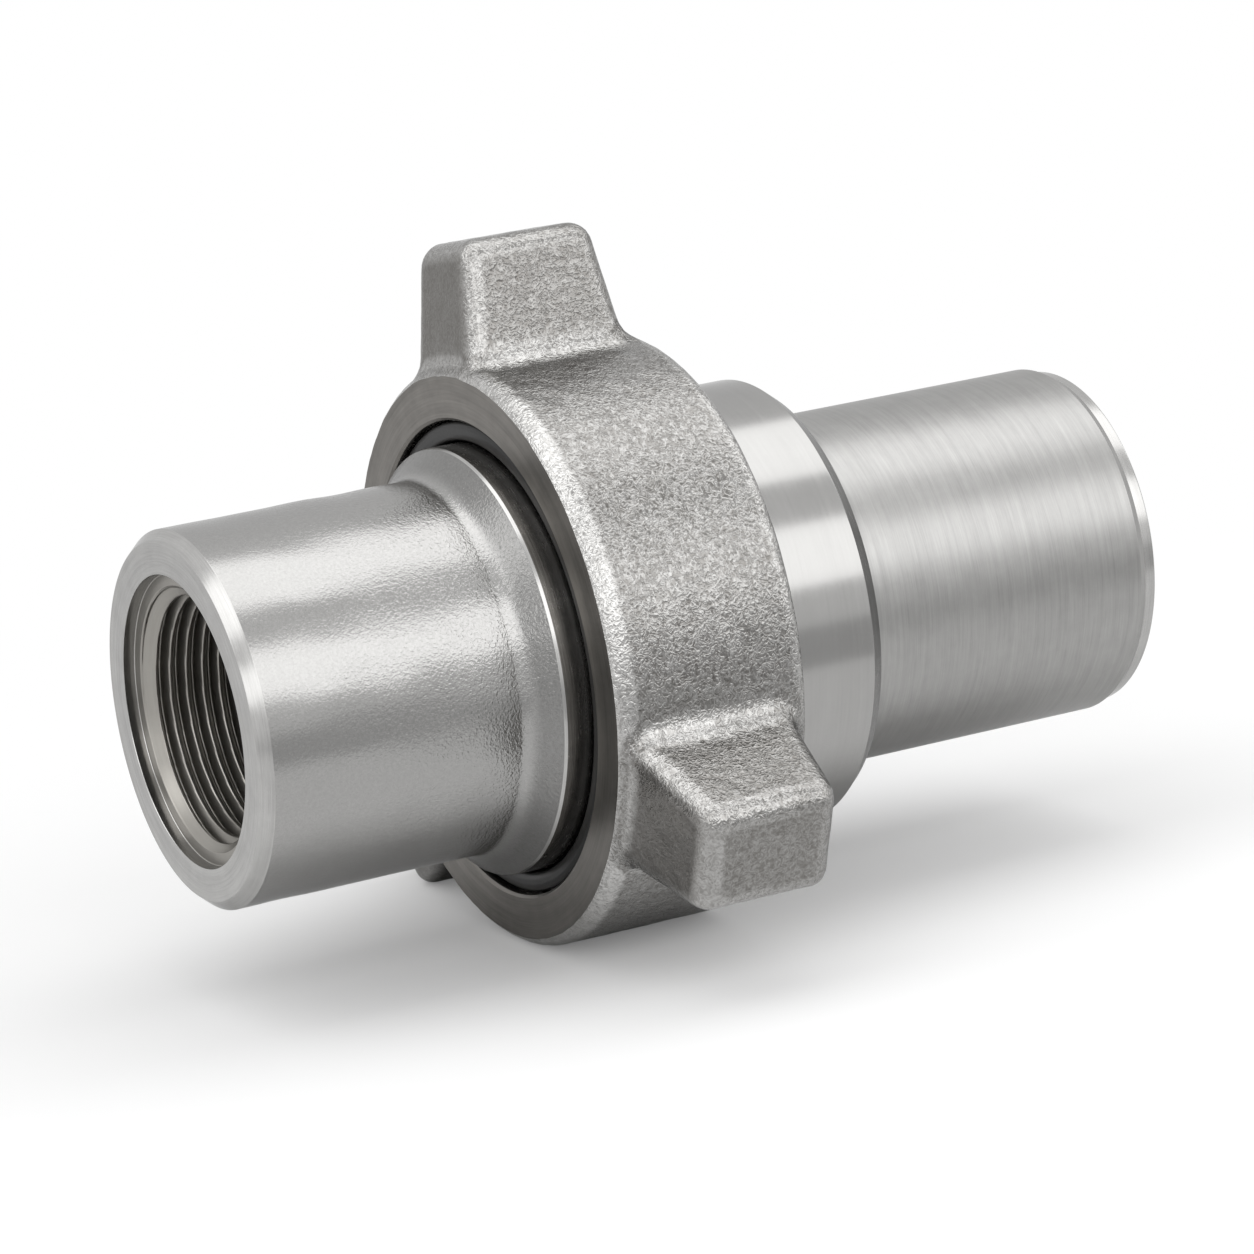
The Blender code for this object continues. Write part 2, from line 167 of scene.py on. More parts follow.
# %% [markdown]
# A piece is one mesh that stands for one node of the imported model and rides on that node's body, so the
# joints move it. Its faces come in groups of the same number of corners, because the nut has a few six-sided
# faces among its quads.

# %% From arrays to a piece
def new_piece(name, vertices, groups, finishes, body, node, crisp_rings=()):
    """A smooth-shaded mesh piece that stands for a node. Groups are (corner numbers (n, k), finish numbers)."""
    if enclosed_volume(vertices - vertices.mean(0), groups) < 0:
        groups = [(faces[:, ::-1], zones) for faces, zones in groups]
    corners = np.concatenate([faces.ravel() for faces, _ in groups])
    sizes = np.concatenate([np.full(len(faces), faces.shape[1]) for faces, _ in groups])
    zones = np.concatenate([np.broadcast_to(zones, len(faces)) for faces, zones in groups])
    mesh = bpy.data.meshes.new(name)
    mesh.vertices.add(len(vertices))
    mesh.vertices.foreach_set("co", vertices.astype(np.float32).ravel())
    mesh.loops.add(len(corners))
    mesh.loops.foreach_set("vertex_index", corners.astype(np.int32))
    mesh.polygons.add(len(sizes))
    mesh.polygons.foreach_set("loop_start", (np.cumsum(sizes) - sizes).astype(np.int32))
    mesh.polygons.foreach_set("material_index", zones.astype(np.int32))
    mesh.update(calc_edges=True)
    mesh.shade_smooth()
    if len(crisp_rings):
        mark_crisp(mesh, crisp_rings)
    for finish in finishes:
        mesh.materials.append(finish)
    piece = bpy.data.objects.new(name, mesh)
    bpy.context.scene.collection.objects.link(piece)
    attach(piece, body)
    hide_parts(node)
    print(f"{name}: {len(vertices)} vertices, {int((sizes - 2).sum())} triangles")
    return piece


# %% [markdown]
# Turning an outline gives a grid: its rows are the outline's points and its columns go round. A function of
# place can still move each point of that grid, and so one helper serves for plain rings and for threads.

# %% Turned pieces
TURN_COLUMNS = 216


def grid_faces(rows, columns, first=0, closed=True):
    """Corner numbers of the quads of a grid whose columns go round, and whose rows do so too if closed."""
    row = np.arange(rows if closed else rows - 1)[:, None]
    column = np.arange(columns)[None]
    after = (column + 1) % columns
    below = (row + 1) % rows
    quads = (row * columns + column, row * columns + after, below * columns + after, below * columns + column)
    return np.stack(quads, axis=-1).reshape(-1, 4) + first


def turned_piece(name, outline, zones, finishes, body, node, shape_at=None):
    """A closed outline carried round the axis: u stays, y = r cos psi, z = r sin psi.

    shape_at(u, r, psi) may change u and r round the piece, which is how threads and ripples are made.
    """
    psi = np.linspace(0, 2 * np.pi, TURN_COLUMNS, endpoint=False)[None]
    u, r = outline[:, :1], outline[:, 1:]
    if shape_at:
        u, r = shape_at(u, r, psi)
    vertices = in_frame(u, r * np.cos(psi), r * np.sin(psi)).reshape(-1, 3)
    faces = grid_faces(len(outline), TURN_COLUMNS)
    return new_piece(name, vertices, [(faces, np.repeat(zones, TURN_COLUMNS))], finishes, body, node)


# %% [markdown]
# Finishes come next, because the pieces need them. Steel is one metal here, so the finishes start from one
# mid-grey. Where oil and heat have left a film it is browner and darker, and a few places carry painted shade and
# a painted highlight. What tells them apart is how rough they are, and the shape of the fine relief:
#
# - turned faces carry fine rings round the axis, left by the tool's feed;
# - the hub and its flare are forged and lightly skimmed, with shallow wrinkles that break up a highlight;
# - the nut is forged and shot-blasted, with a dense orange-peel of wrinkles and small dents;
# - the band is polished, and the weld end is brushed round and round.
#
# All patterns read Object coordinates, centred on the union's axis by a Mapping node, so they are as large as on
# the real part and stay put when the nut turns. The nut's lightened edges, worn and with a painted highlight,
# alone read an attribute of its mesh.

# %% Helpers for shader nodes
def add_node(tree, kind, inputs=None, **settings):
    """A new node with its settings, and its inputs given as values or as sockets to link."""
    node = tree.nodes.new(kind)
    for key, value in settings.items():
        setattr(node, key, value)
    for key, value in (inputs or {}).items():
        if isinstance(value, bpy.types.NodeSocket):
            tree.links.new(value, node.inputs[key])
        else:
            node.inputs[key].default_value = value
    return node


def maths(tree, operation, first, second=0.0, third=0.0, clamp=False):
    """The output of a Math node."""
    node = add_node(tree, "ShaderNodeMath", {0: first, 1: second, 2: third}, operation=operation, use_clamp=clamp)
    return node.outputs[0]


def product(tree, first, *others):
    """The product of two or more values."""
    for other in others:
        first = maths(tree, "MULTIPLY", first, other)
    return first


def ramp(tree, value, start, end, low=0.0, high=1.0, kind="SMOOTHSTEP"):
    """A value taken from the range start to end over to low to high, and held beyond both ends."""
    inputs = {"Value": value, "From Min": start, "From Max": end, "To Min": low, "To Max": high}
    return add_node(tree, "ShaderNodeMapRange", inputs, interpolation_type=kind).outputs["Result"]


def parts_of(tree, vector):
    """The three parts of a vector: along the axis, y and z."""
    return [output for output in add_node(tree, "ShaderNodeSeparateXYZ", {"Vector": vector}).outputs]


# %% [markdown]
# Every metal has some colour of its own, which a Principled shader takes as its base colour, and at a grazing
# angle all metals turn white. Used steel does so less than clean steel, so the specular tint is held below
# white.

# %% A new finish, and its relief
STEEL = (0.36, 0.357, 0.350)
EDGE_TINT = (0.74, 0.74, 0.74)


def new_finish(name, metallic=1.0):
    """A new material with a Principled shader. Returns the material, its tree, the shader and axis coordinates."""
    finish = bpy.data.materials.new(name)
    finish.use_nodes = True
    tree = finish.node_tree
    shader = tree.nodes["Principled BSDF"]
    shader.inputs["Metallic"].default_value = metallic
    shader.inputs["Specular Tint"].default_value = (*EDGE_TINT, 1) if metallic else (1, 1, 1, 1)
    place = add_node(tree, "ShaderNodeTexCoord").outputs["Object"]
    centred = add_node(tree, "ShaderNodeMapping", {"Vector": place, "Location": tuple(-nut_front)})
    return finish, tree, shader, centred.outputs["Vector"]


def relief(tree, shader, height, depth):
    """Bump from a height of 0 to 1, with its depth in millimetres."""
    bump = add_node(tree, "ShaderNodeBump", {"Height": height, "Distance": depth * MM})
    tree.links.new(bump.outputs["Normal"], shader.inputs["Normal"])


# %% [markdown]
# The patterns are noises, because tool marks and forged skin are irregular in just that way. A noise node's
# scale is in lumps per metre, so a helper takes the size of a lump in millimetres instead, as one would
# measure it on the part. Colours lie between two greys, mixed by such a pattern.

# %% Noise and colour
def noise(tree, vector, size, detail=2.0, roughness=0.5, distortion=0.0, fourth=None):
    """Noise with lumps about that size in millimetres, from 0 to 1, in three dimensions or in four."""
    inputs = {"Vector": vector, "Scale": 1 / (size * MM), "Detail": detail, "Roughness": roughness,
              "Distortion": distortion}
    if fourth is None:
        return add_node(tree, "ShaderNodeTexNoise", inputs).outputs["Fac"]
    return add_node(tree, "ShaderNodeTexNoise", {**inputs, "W": fourth}, noise_dimensions="4D").outputs["Fac"]


def contrast(tree, value, gain):
    """A noise drawn apart about its middle, from 0 to 1: (value - 0.5) * gain + 0.5."""
    return maths(tree, "MULTIPLY_ADD", value, gain, 0.5 - gain / 2, clamp=True)


def shades(colour, share):
    """A colour made darker or lighter by a share."""
    return tuple(channel * share for channel in colour)


def mixed(tree, amount, first, second):
    """A colour between two others, by an amount from 0 to 1."""
    mix = add_node(tree, "ShaderNodeMix", data_type="RGBA")
    tree.links.new(amount, mix.inputs["Factor"])
    for socket, colour in ((mix.inputs["A"], first), (mix.inputs["B"], second)):
        if isinstance(colour, bpy.types.NodeSocket):
            tree.links.new(colour, socket)
        else:
            socket.default_value = (*colour, 1)
    return mix.outputs["Result"]


# %% [markdown]
# A turned face has rings. The pattern is a noise in four dimensions: r and u at full size, and y and z made
# many times smaller. So the same material draws rings on flat faces, where r changes, and on cylinders, where
# u does, and each mark is a long arc without a seam anywhere. Anisotropy would stretch the highlights too, but
# it shows no marks, and marks are what one sees on a part of this size.

# %% Turned and brushed steel
ROUND_SHARE = 0.03


def ring_coordinates(tree, centred):
    """(r, y, z) with y and z shortened, and u, for a noise whose marks run round the axis."""
    u, y, z = parts_of(tree, centred)
    r = maths(tree, "SQRT", maths(tree, "MULTIPLY_ADD", y, y, product(tree, z, z)))
    short = {"X": r, "Y": product(tree, y, ROUND_SHARE), "Z": product(tree, z, ROUND_SHARE)}
    return add_node(tree, "ShaderNodeCombineXYZ", short).outputs[0], u


def turned_steel(name, colour, roughness, mark_size, mark_depth, mottle):
    """Steel with fine tool marks round the axis, and a faint mottle of grease and handling."""
    finish, tree, shader, centred = new_finish(name)
    rings, along = ring_coordinates(tree, centred)
    marks = noise(tree, rings, mark_size, detail=3.0, roughness=0.65, fourth=along)
    coarse = noise(tree, rings, mark_size * 5, detail=1.0, fourth=along)
    cloud = noise(tree, centred, 3.0, detail=4.0, roughness=0.6)
    relief(tree, shader, maths(tree, "MULTIPLY_ADD", coarse, 0.8, marks), mark_depth)
    bands = maths(tree, "MULTIPLY_ADD", coarse, 0.4, product(tree, marks, 0.6))
    shade = maths(tree, "MULTIPLY_ADD", contrast(tree, cloud, 2.0), 0.35,
                  product(tree, contrast(tree, bands, 3.2), 0.65))
    tree.links.new(mixed(tree, shade, shades(colour, 1 - mottle), shades(colour, 1 + mottle)),
                   shader.inputs["Base Color"])
    spread = maths(tree, "MULTIPLY_ADD", cloud, 0.06, roughness - 0.05)
    tree.links.new(maths(tree, "MULTIPLY_ADD", marks, 0.05, spread), shader.inputs["Roughness"])
    return finish


# %% [markdown]
# The same function makes seven finishes. The relief is kept to a few thousandths of a millimetre: deeper marks of
# this width would scatter the highlight until the steel looked milky. The nut's cut face, the collar's side and
# the socket have a brown film of oil. The band's rear chamfer is painted a darker grey: painted shade, standing in
# for the dark floor that it mirrors.

# %% Seven turned finishes
NUT_FACE_BROWN = (0.185, 0.176, 0.164)
COLLAR_BROWN = (0.40, 0.388, 0.370)
THREAD_BROWN = (0.310, 0.298, 0.276)

turned_face = turned_steel("turned_face", shades(STEEL, 1.20), roughness=0.20,
                           mark_size=0.22, mark_depth=0.003, mottle=0.18)
nut_face_steel = turned_steel("nut_face_steel", NUT_FACE_BROWN, roughness=0.30,
                              mark_size=0.26, mark_depth=0.010, mottle=0.30)
collar_steel = turned_steel("collar_side_steel", COLLAR_BROWN, roughness=0.26,
                            mark_size=0.16, mark_depth=0.010, mottle=0.40)
# The band's rear chamfer gets a darker grey: painted shade, for a darker reflection.
chamfer_painted_shade_steel = turned_steel("chamfer_painted_shade_steel", shades(STEEL, 0.62), roughness=0.26,
                             mark_size=0.16, mark_depth=0.006, mottle=0.20)
thread_steel = turned_steel("thread_steel", THREAD_BROWN, roughness=0.33,
                            mark_size=0.40, mark_depth=0.002, mottle=0.10)
band_steel = turned_steel("polished_band_steel", STEEL, roughness=0.17,
                          mark_size=0.30, mark_depth=0.003, mottle=0.05)
brushed_steel = turned_steel("brushed_weld_end_steel", shades(STEEL, 0.95), roughness=0.34,
                             mark_size=0.12, mark_depth=0.010, mottle=0.15)
print("turned finishes:", len(bpy.data.materials))

# %% [markdown]
# The hub was forged too, and only skimmed. Near its mouth it is smooth. Towards the collar the skin is left
# as it came from the die, so the wrinkles grow with u, and a highlight on it breaks into short strokes there.
# The flare is coloured darker than the hub.

# %% Satin forged steel of the hub and the flare
WRINKLE_FROM, WRINKLE_TO = -38.0, -14.0
WRINKLE_SIZE, WRINKLE_RELIEF = 0.38, 0.060
LEAST_WRINKLES = 0.30
GRAIN_SIZE = 0.18
FLARE_DARKER_FROM, FLARE_DARKER_TO = -6.1, -4.4


def satin_forged():
    """Satin steel whose wrinkles grow from the hub's mouth to its collar."""
    finish, tree, shader, centred = new_finish("satin_forged_steel")
    along = parts_of(tree, centred)[0]
    grown = ramp(tree, along, WRINKLE_FROM * MM, WRINKLE_TO * MM, low=LEAST_WRINKLES)
    wrinkles = noise(tree, centred, WRINKLE_SIZE, detail=1.5, roughness=0.55, distortion=0.6)
    grain = noise(tree, centred, GRAIN_SIZE, detail=1.0)
    height = maths(tree, "MULTIPLY_ADD", grain, 0.20, wrinkles)
    relief(tree, shader, product(tree, height, grown), WRINKLE_RELIEF)
    shade = maths(tree, "MULTIPLY_ADD", grain, 0.4, product(tree, wrinkles, 0.6))
    skimmed = mixed(tree, shade, shades(STEEL, 0.80), shades(STEEL, 1.16))
    # The flare's colour is darker than the hub's.
    flare_darker = mixed(tree, shade, shades(STEEL, 0.45), shades(STEEL, 0.85))
    on_flare = ramp(tree, along, FLARE_DARKER_FROM * MM, FLARE_DARKER_TO * MM)
    tree.links.new(mixed(tree, on_flare, skimmed, flare_darker), shader.inputs["Base Color"])
    tree.links.new(maths(tree, "MULTIPLY_ADD", grain, 0.08, 0.17), shader.inputs["Roughness"])
    return finish


satin_steel = satin_forged()
print("wrinkles grow from u", WRINKLE_FROM, "to", WRINKLE_TO, "mm")

# %% [markdown]
# Shot-blasting leaves overlapping dents about half a millimetre wide, and between them the forged skin stands
# up in thin folds that run together like worms. Three layers make that here: a noise with distortion for the
# wrinkles, smooth Voronoi cells for the dents, and for the folds the lines where a second noise passes through
# its middle value.

# %% Pattern of the blasted skin
PEEL_SIZE, PEEL_CONTRAST = 0.66, 2.6
DENT_SIZE, DENT_HEIGHT = 0.55, 0.35
FOLD_SIZE, FOLD_WIDTH, FOLD_HEIGHT = 1.10, 0.12, 0.26
PATCH_SIZE = 5.0


def skin_pattern(tree, centred):
    """Height of the skin, its shade, and broad patches, each about 0 to 1.

    A fold is 1 - |noise - 0.5| / FOLD_WIDTH, held above 0.
    """
    peel = noise(tree, centred, PEEL_SIZE, detail=1.3, distortion=1.3)
    cells = {"Vector": centred, "Scale": 1 / (DENT_SIZE * MM), "Smoothness": 0.6}
    dents = add_node(tree, "ShaderNodeTexVoronoi", cells, feature="SMOOTH_F1").outputs["Distance"]
    folds = noise(tree, centred, FOLD_SIZE, detail=1.0, distortion=1.6)
    off_fold = maths(tree, "ABSOLUTE", maths(tree, "SUBTRACT", folds, 0.5))
    crests = maths(tree, "MULTIPLY_ADD", off_fold, -1 / FOLD_WIDTH, 1.0, clamp=True)
    height = maths(tree, "MULTIPLY_ADD", dents, DENT_HEIGHT, peel)
    height = maths(tree, "MULTIPLY_ADD", crests, FOLD_HEIGHT, height)
    patch = noise(tree, centred, PATCH_SIZE, detail=3.0)
    strokes = maths(tree, "MULTIPLY_ADD", crests, 0.45, product(tree, contrast(tree, peel, PEEL_CONTRAST), 0.40))
    return height, maths(tree, "MULTIPLY_ADD", patch, 0.20, strokes), patch


# %% [markdown]
# Three things change that skin from place to place. The front and rear of the lugs lay against the die's parting
# faces and came out smoother and darker, so relief and shade follow how far the surface faces along the axis. The
# lugs are painted darker than the rim: painted shade, where their flat sides mirror no lamp. And edges are
# lighter: partly wear where the nut was handled and struck, and partly a painted highlight, strongest at the
# front. How sharply the surface bends is known when the mesh is made, so the mesh carries it in an attribute named
# bend, and the material only has to read it.

# %% Shot-blasted forging of the nut
SKIN_RELIEF = 0.095
FACING_FROM, FACING_TO, FACING_LEAST = 0.80, 0.97, 0.38
RIM_ENDS, LUG_STARTS, LUG_PAINTED_SHADE = 38.5, 41.5, 0.68
WEAR_AND_HIGHLIGHT_FROM, WEAR_AND_HIGHLIGHT_TO = 0.05, 0.36
HIGHLIGHT_FRONT, HIGHLIGHT_REAR, REAR_HIGHLIGHT_SHARE = 6.0, 20.0, 0.5


def blasted_forging():
    """Forged steel with an orange-peel relief, weaker on faces that look along the axis, painted shade on the
    lugs, and edges lightened by wear and a painted highlight.
    """
    finish, tree, shader, centred = new_finish("shot_blasted_forging")
    height, shade, patch = skin_pattern(tree, centred)
    facing = parts_of(tree, add_node(tree, "ShaderNodeNewGeometry").outputs["Normal"])[0]
    rough = ramp(tree, maths(tree, "ABSOLUTE", facing), FACING_FROM, FACING_TO, 1.0, FACING_LEAST, "LINEAR")
    relief(tree, shader, product(tree, height, rough), SKIN_RELIEF)

    u, y, z = parts_of(tree, centred)
    r = maths(tree, "SQRT", maths(tree, "MULTIPLY_ADD", y, y, product(tree, z, z)))
    # Painted shade: the lugs' colour is darker than the rim's, and their edges are lightened less.
    painted_lug_shade = ramp(tree, r, RIM_ENDS * MM, LUG_STARTS * MM, 1.0, LUG_PAINTED_SHADE, "LINEAR")
    skin = mixed(tree, product(tree, shade, rough, painted_lug_shade), shades(NUT_FACE_BROWN, 0.75), shades(STEEL, 1.12))

    # Edges are lightened by how sharply they bend: partly wear, partly a painted highlight, strongest at the
    # front.
    bend = add_node(tree, "ShaderNodeAttribute", attribute_name="bend").outputs["Fac"]
    wear_and_highlight_edges = ramp(tree, maths(tree, "ABSOLUTE", bend), WEAR_AND_HIGHLIGHT_FROM, WEAR_AND_HIGHLIGHT_TO)
    front_highlight_share = ramp(tree, u, HIGHLIGHT_FRONT * MM, HIGHLIGHT_REAR * MM, 1.0, REAR_HIGHLIGHT_SHARE, "LINEAR")
    wear_and_highlight_strength = maths(tree, "MULTIPLY_ADD", shade, 0.8, 0.38)
    wear_and_painted_highlight = product(tree, wear_and_highlight_edges, wear_and_highlight_strength, front_highlight_share, painted_lug_shade, painted_lug_shade, rough)
    tree.links.new(mixed(tree, wear_and_painted_highlight, skin, shades(STEEL, 1.40)), shader.inputs["Base Color"])
    tree.links.new(maths(tree, "MULTIPLY_ADD", patch, 0.08, 0.13), shader.inputs["Roughness"])
    return finish


forging_skin = blasted_forging()
print("forging's folds:", FOLD_SIZE, "mm apart")

# %% [markdown]
# Rubber is the one finish here that isn't metal. It is black, but never quite: a faint bloom of dust lies on
# it. Its highlight is weak, because the rings are old and matt.

# %% Rubber of the rings
def rubber(name, colour, roughness):
    """Black rubber with a faint moulded grain and a dusty bloom."""
    finish, tree, shader, centred = new_finish(name, metallic=0.0)
    bloom = noise(tree, centred, 2.5, detail=3.0)
    relief(tree, shader, noise(tree, centred, 0.30), 0.010)
    tree.links.new(mixed(tree, bloom, shades(colour, 0.7), shades(colour, 1.4)), shader.inputs["Base Color"])
    shader.inputs["Roughness"].default_value = roughness
    shader.inputs["Specular IOR Level"].default_value = 0.2
    return finish


ring_rubber = rubber("black_ring_rubber", (0.012, 0.012, 0.012), roughness=0.34)
seal_rubber = rubber("dark_seal_rubber", (0.020, 0.020, 0.021), roughness=0.50)
print("finishes in all:", len(bpy.data.materials))

# %% [markdown]
# The threaded sub. Its outline goes once round the section: the end face, over the hub and the flare to the
# collar, down the shoulder that the nut's lip pulls on, along the ball nose, and back through the bore. Its
# measures come first, all in millimetres: places along the axis, then radii.

# %% Measures of the threaded sub
HUB_FRONT = -41.6
HUB_CHAMFER_END = -40.05
SOCKET_FRONT = -39.9
SOCKET_FLOOR = -17.6
SOCKET_CONE_END = -15.6
FLARE_START = -5.9
COLLAR_FRONT = -2.4
SHOULDER_FRONT = 7.3
SHOULDER_REAR = 12.3
NOSE_TIP = 23.0

BORE_RADIUS = 13.3
SOCKET_RADIUS = 16.9
COUNTERBORE_RADIUS = 18.5
HUB_FACE_RADIUS = 22.65
HUB_RADIUS = 24.0
FLARE_ROUND = 2.3
COLLAR_RADIUS = 27.5
CORE_RADIUS = 31.4
NOSE_ROOT_RADIUS = 26.2
NOSE_TIP_RADIUS = 17.0
print("threaded sub, end to end:", NOSE_TIP - HUB_FRONT, "mm")

# %% [markdown]
# A tapered pipe thread belongs to the same surface. In the socket the radius is not constant round the axis
# but follows a sharp vee that climbs one pitch a turn, so the thread is real and shows true crests. A grid
# cut across by a slanting edge would show it as a staircase. So the row nearest to each edge of the thread is
# moved onto it.

# %% Helixes on a grid
def from_turn(u, psi, pitch):
    """Signed distance along the axis to the nearest turn of a right-hand helix through u = 0 at psi = 0."""
    return (u - pitch * psi / (2 * np.pi) + pitch / 2) % pitch - pitch / 2


def snapped(u, psi, pitch, rows_per_pitch, edges):
    """Rows of a thread moved onto its edges, so that crests and roots come out straight.

    The rows are pitch / rows_per_pitch apart. Of the rows beside an edge of the profile, the one within half
    that step moves onto it, by the signed distance to the helix through that edge.
    """
    for edge in edges:
        away = from_turn(u - edge, psi, pitch)
        u = np.where(np.abs(away) <= pitch / rows_per_pitch / 2, u - away, u)
    return u


# %% [markdown]
# The thread itself is 11.5 turns to the inch on a taper of 1 in 16 of the diameter, as 1 inch pipe has. Its
# vee has 60 degrees, and a tiny flat at the root.

# %% Pipe thread in the socket
PIPE_PITCH = 25.4 / 11.5
PIPE_TAPER = 1 / 32
PIPE_ROOT_RADIUS = 16.75
PIPE_DEPTH = 0.62 * PIPE_PITCH
PIPE_FADE = 3.5
PIPE_ROWS_PER_PITCH = 22
VEE_SLOPE = math.tan(math.radians(60))
ROOT_FLAT = 0.05 * PIPE_PITCH


def pipe_thread(u, r, psi):
    """The socket's u and r: the root radius less the taper, less a vee of PIPE_DEPTH.

    At the socket's floor the roots run out into the crests' cone. The chamfer at the mouth, a 45 degree cone,
    cuts the first turn wherever it is larger.
    """
    in_socket = (u > SOCKET_FRONT) & (u < SOCKET_FLOOR) & (r < SOCKET_RADIUS)
    flank = PIPE_DEPTH / VEE_SLOPE + ROOT_FLAT
    moved = snapped(u, psi, PIPE_PITCH, PIPE_ROWS_PER_PITCH, (-flank, -ROOT_FLAT, ROOT_FLAT, flank))
    u = np.where(in_socket & (moved > SOCKET_FRONT) & (moved < SOCKET_FLOOR), moved, u)
    root = PIPE_ROOT_RADIUS - (u - SOCKET_FRONT) * PIPE_TAPER
    vee = np.clip((np.abs(from_turn(u, psi, PIPE_PITCH)) - ROOT_FLAT) * VEE_SLOPE, 0, PIPE_DEPTH)
    run_out = PIPE_DEPTH * np.clip(1 - (SOCKET_FLOOR - u) / PIPE_FADE, 0, 1)
    thread = root - np.minimum(vee + run_out, PIPE_DEPTH)
    chamfer = SOCKET_RADIUS - (u - SOCKET_FRONT)
    return u, np.where(in_socket, np.maximum(thread, chamfer), r)


print("pipe thread:", round(PIPE_PITCH, 3), "mm pitch,", round(PIPE_DEPTH, 3), "mm deep")

# %% [markdown]
# The nose is a part of a ball, so that it seals on the weld sub's cone even when the two pipes meet at a slight
# angle. The ball's centre lies on the axis, at the one place from which the nose's root and its tip are
# equally far.

# %% Ball of the nose
NOSE_POINTS = 14

ball_centre = NOSE_TIP**2 + NOSE_TIP_RADIUS**2 - SHOULDER_REAR**2 - NOSE_ROOT_RADIUS**2
ball_centre /= 2 * (NOSE_TIP - SHOULDER_REAR)
ball_radius = math.hypot(SHOULDER_REAR - ball_centre, NOSE_ROOT_RADIUS)
nose_angle = np.linspace(math.atan2(NOSE_ROOT_RADIUS, SHOULDER_REAR - ball_centre),
                         math.atan2(NOSE_TIP_RADIUS, NOSE_TIP - ball_centre), NOSE_POINTS)
nose_u = ball_centre + ball_radius * np.cos(nose_angle)
nose_r = ball_radius * np.sin(nose_angle)
print("ball of the nose: centre", round(ball_centre, 3), "radius", round(ball_radius, 3), "mm")

# %% [markdown]
# Now the outline, corner by corner. Each line gives a place, the rounding of the edge there, and the finish of
# the run that follows. The collar's front edge has two small roundings, which catch the light as a thin line.

# %% Outline of the threaded sub
OUTLINE_STEP = 0.9
FACE, HUB, SIDE, THREAD = range(4)

socket_rows = np.arange(SOCKET_FRONT, SOCKET_FLOOR, PIPE_PITCH / PIPE_ROWS_PER_PITCH)[::-1]
sub_corners = [
    (HUB_FRONT, COUNTERBORE_RADIUS, 0.15, FACE),
    (HUB_FRONT, HUB_FACE_RADIUS, 0.12, FACE),
    (HUB_CHAMFER_END, HUB_RADIUS, 0.12, HUB),
    (FLARE_START, HUB_RADIUS, FLARE_ROUND, HUB),
    (COLLAR_FRONT - 0.30, COLLAR_RADIUS - 0.15, 0.10, FACE),
    (COLLAR_FRONT + 0.10, COLLAR_RADIUS, 0.10, SIDE),
    (SHOULDER_FRONT, COLLAR_RADIUS, 0.4, SIDE),
    (SHOULDER_FRONT, CORE_RADIUS, 0.6, SIDE),
    (SHOULDER_REAR, CORE_RADIUS, 0.6, SIDE),
    *[(u, r, 0, SIDE) for u, r in zip(nose_u, nose_r)],
    (NOSE_TIP, BORE_RADIUS, 0.5, THREAD),
    (SOCKET_CONE_END, BORE_RADIUS, 0.5, THREAD),
    *[(u, SOCKET_RADIUS - 0.05, 0, THREAD) for u in socket_rows],
    (SOCKET_FRONT, COUNTERBORE_RADIUS, 0.15, FACE),
]
sub_outline, sub_zones = rounded_outline(sub_corners, OUTLINE_STEP)
print("threaded sub outline:", sub_outline.shape)

# %% [markdown]
# A forging isn't perfectly straight even after skimming. A few long, shallow waves over the hub and the flare
# bend the highlights a little, as the bump of a material can't, because they also move the outline. A sum of
# plane waves in random directions gives them: it needs no texture, and a fixed seed keeps it the same.

# %% Long waves of a forged skin
def forged_waves(points, shortest, longest, height, count, seed):
    """Height over a forged skin: a sum of plane waves, height * sum(sin(k . p + phase)) / sqrt(count)."""
    random = np.random.default_rng(seed)
    direction = random.normal(size=(count, 3))
    direction /= np.linalg.norm(direction, axis=1, keepdims=True)
    lengths = random.uniform(shortest, longest, count)
    phases = random.uniform(0, 2 * np.pi, count)
    total = sum(np.sin(2 * np.pi / length * np.tensordot(way, points, 1) + start)
                for way, length, start in zip(direction, lengths, phases))
    return height * total / math.sqrt(count)


# %% [markdown]
# With the thread and the waves at hand, the sub can be turned. The waves start a little behind the mouth, which
# was cut true, and fade out before the collar's edge.

# %% The threaded sub
MOUTH_TRUE, MOUTH_FADE = 3.0, 6.0
FLARE_TRUE, FLARE_FADE = 3.5, 2.5
HUB_WAVE = {"shortest": 5, "longest": 14, "height": 0.045, "count": 14, "seed": 3}


def threaded_sub_shape(u, r, psi):
    """The pipe thread in the socket, and the forging's waves on the hub's outside."""
    u, r = pipe_thread(u, r, psi)
    from_mouth = np.clip((u - HUB_FRONT - MOUTH_TRUE) / MOUTH_FADE, 0, 1)
    to_collar = np.clip((FLARE_START + FLARE_TRUE - u) / FLARE_FADE, 0, 1)
    on_hub = (r > HUB_RADIUS - 0.01) & (u < COLLAR_FRONT)
    waves = forged_waves(np.stack((u, r * np.cos(psi), r * np.sin(psi))), **HUB_WAVE)
    return u, r + np.where(on_hub, from_mouth * to_collar * waves, 0)


turned_piece("threaded_sub_steel", sub_outline, sub_zones, [turned_face, satin_steel, collar_steel, thread_steel],
             "threaded_half", "threaded_sub", threaded_sub_shape)

# %% [markdown]
# The weld sub is turned all over. Its head carries the coarse thread that the nut climbs on. Behind the head
# come the polished band and the brushed weld end with its bevel. Inside, a cone seat waits for the ball nose.

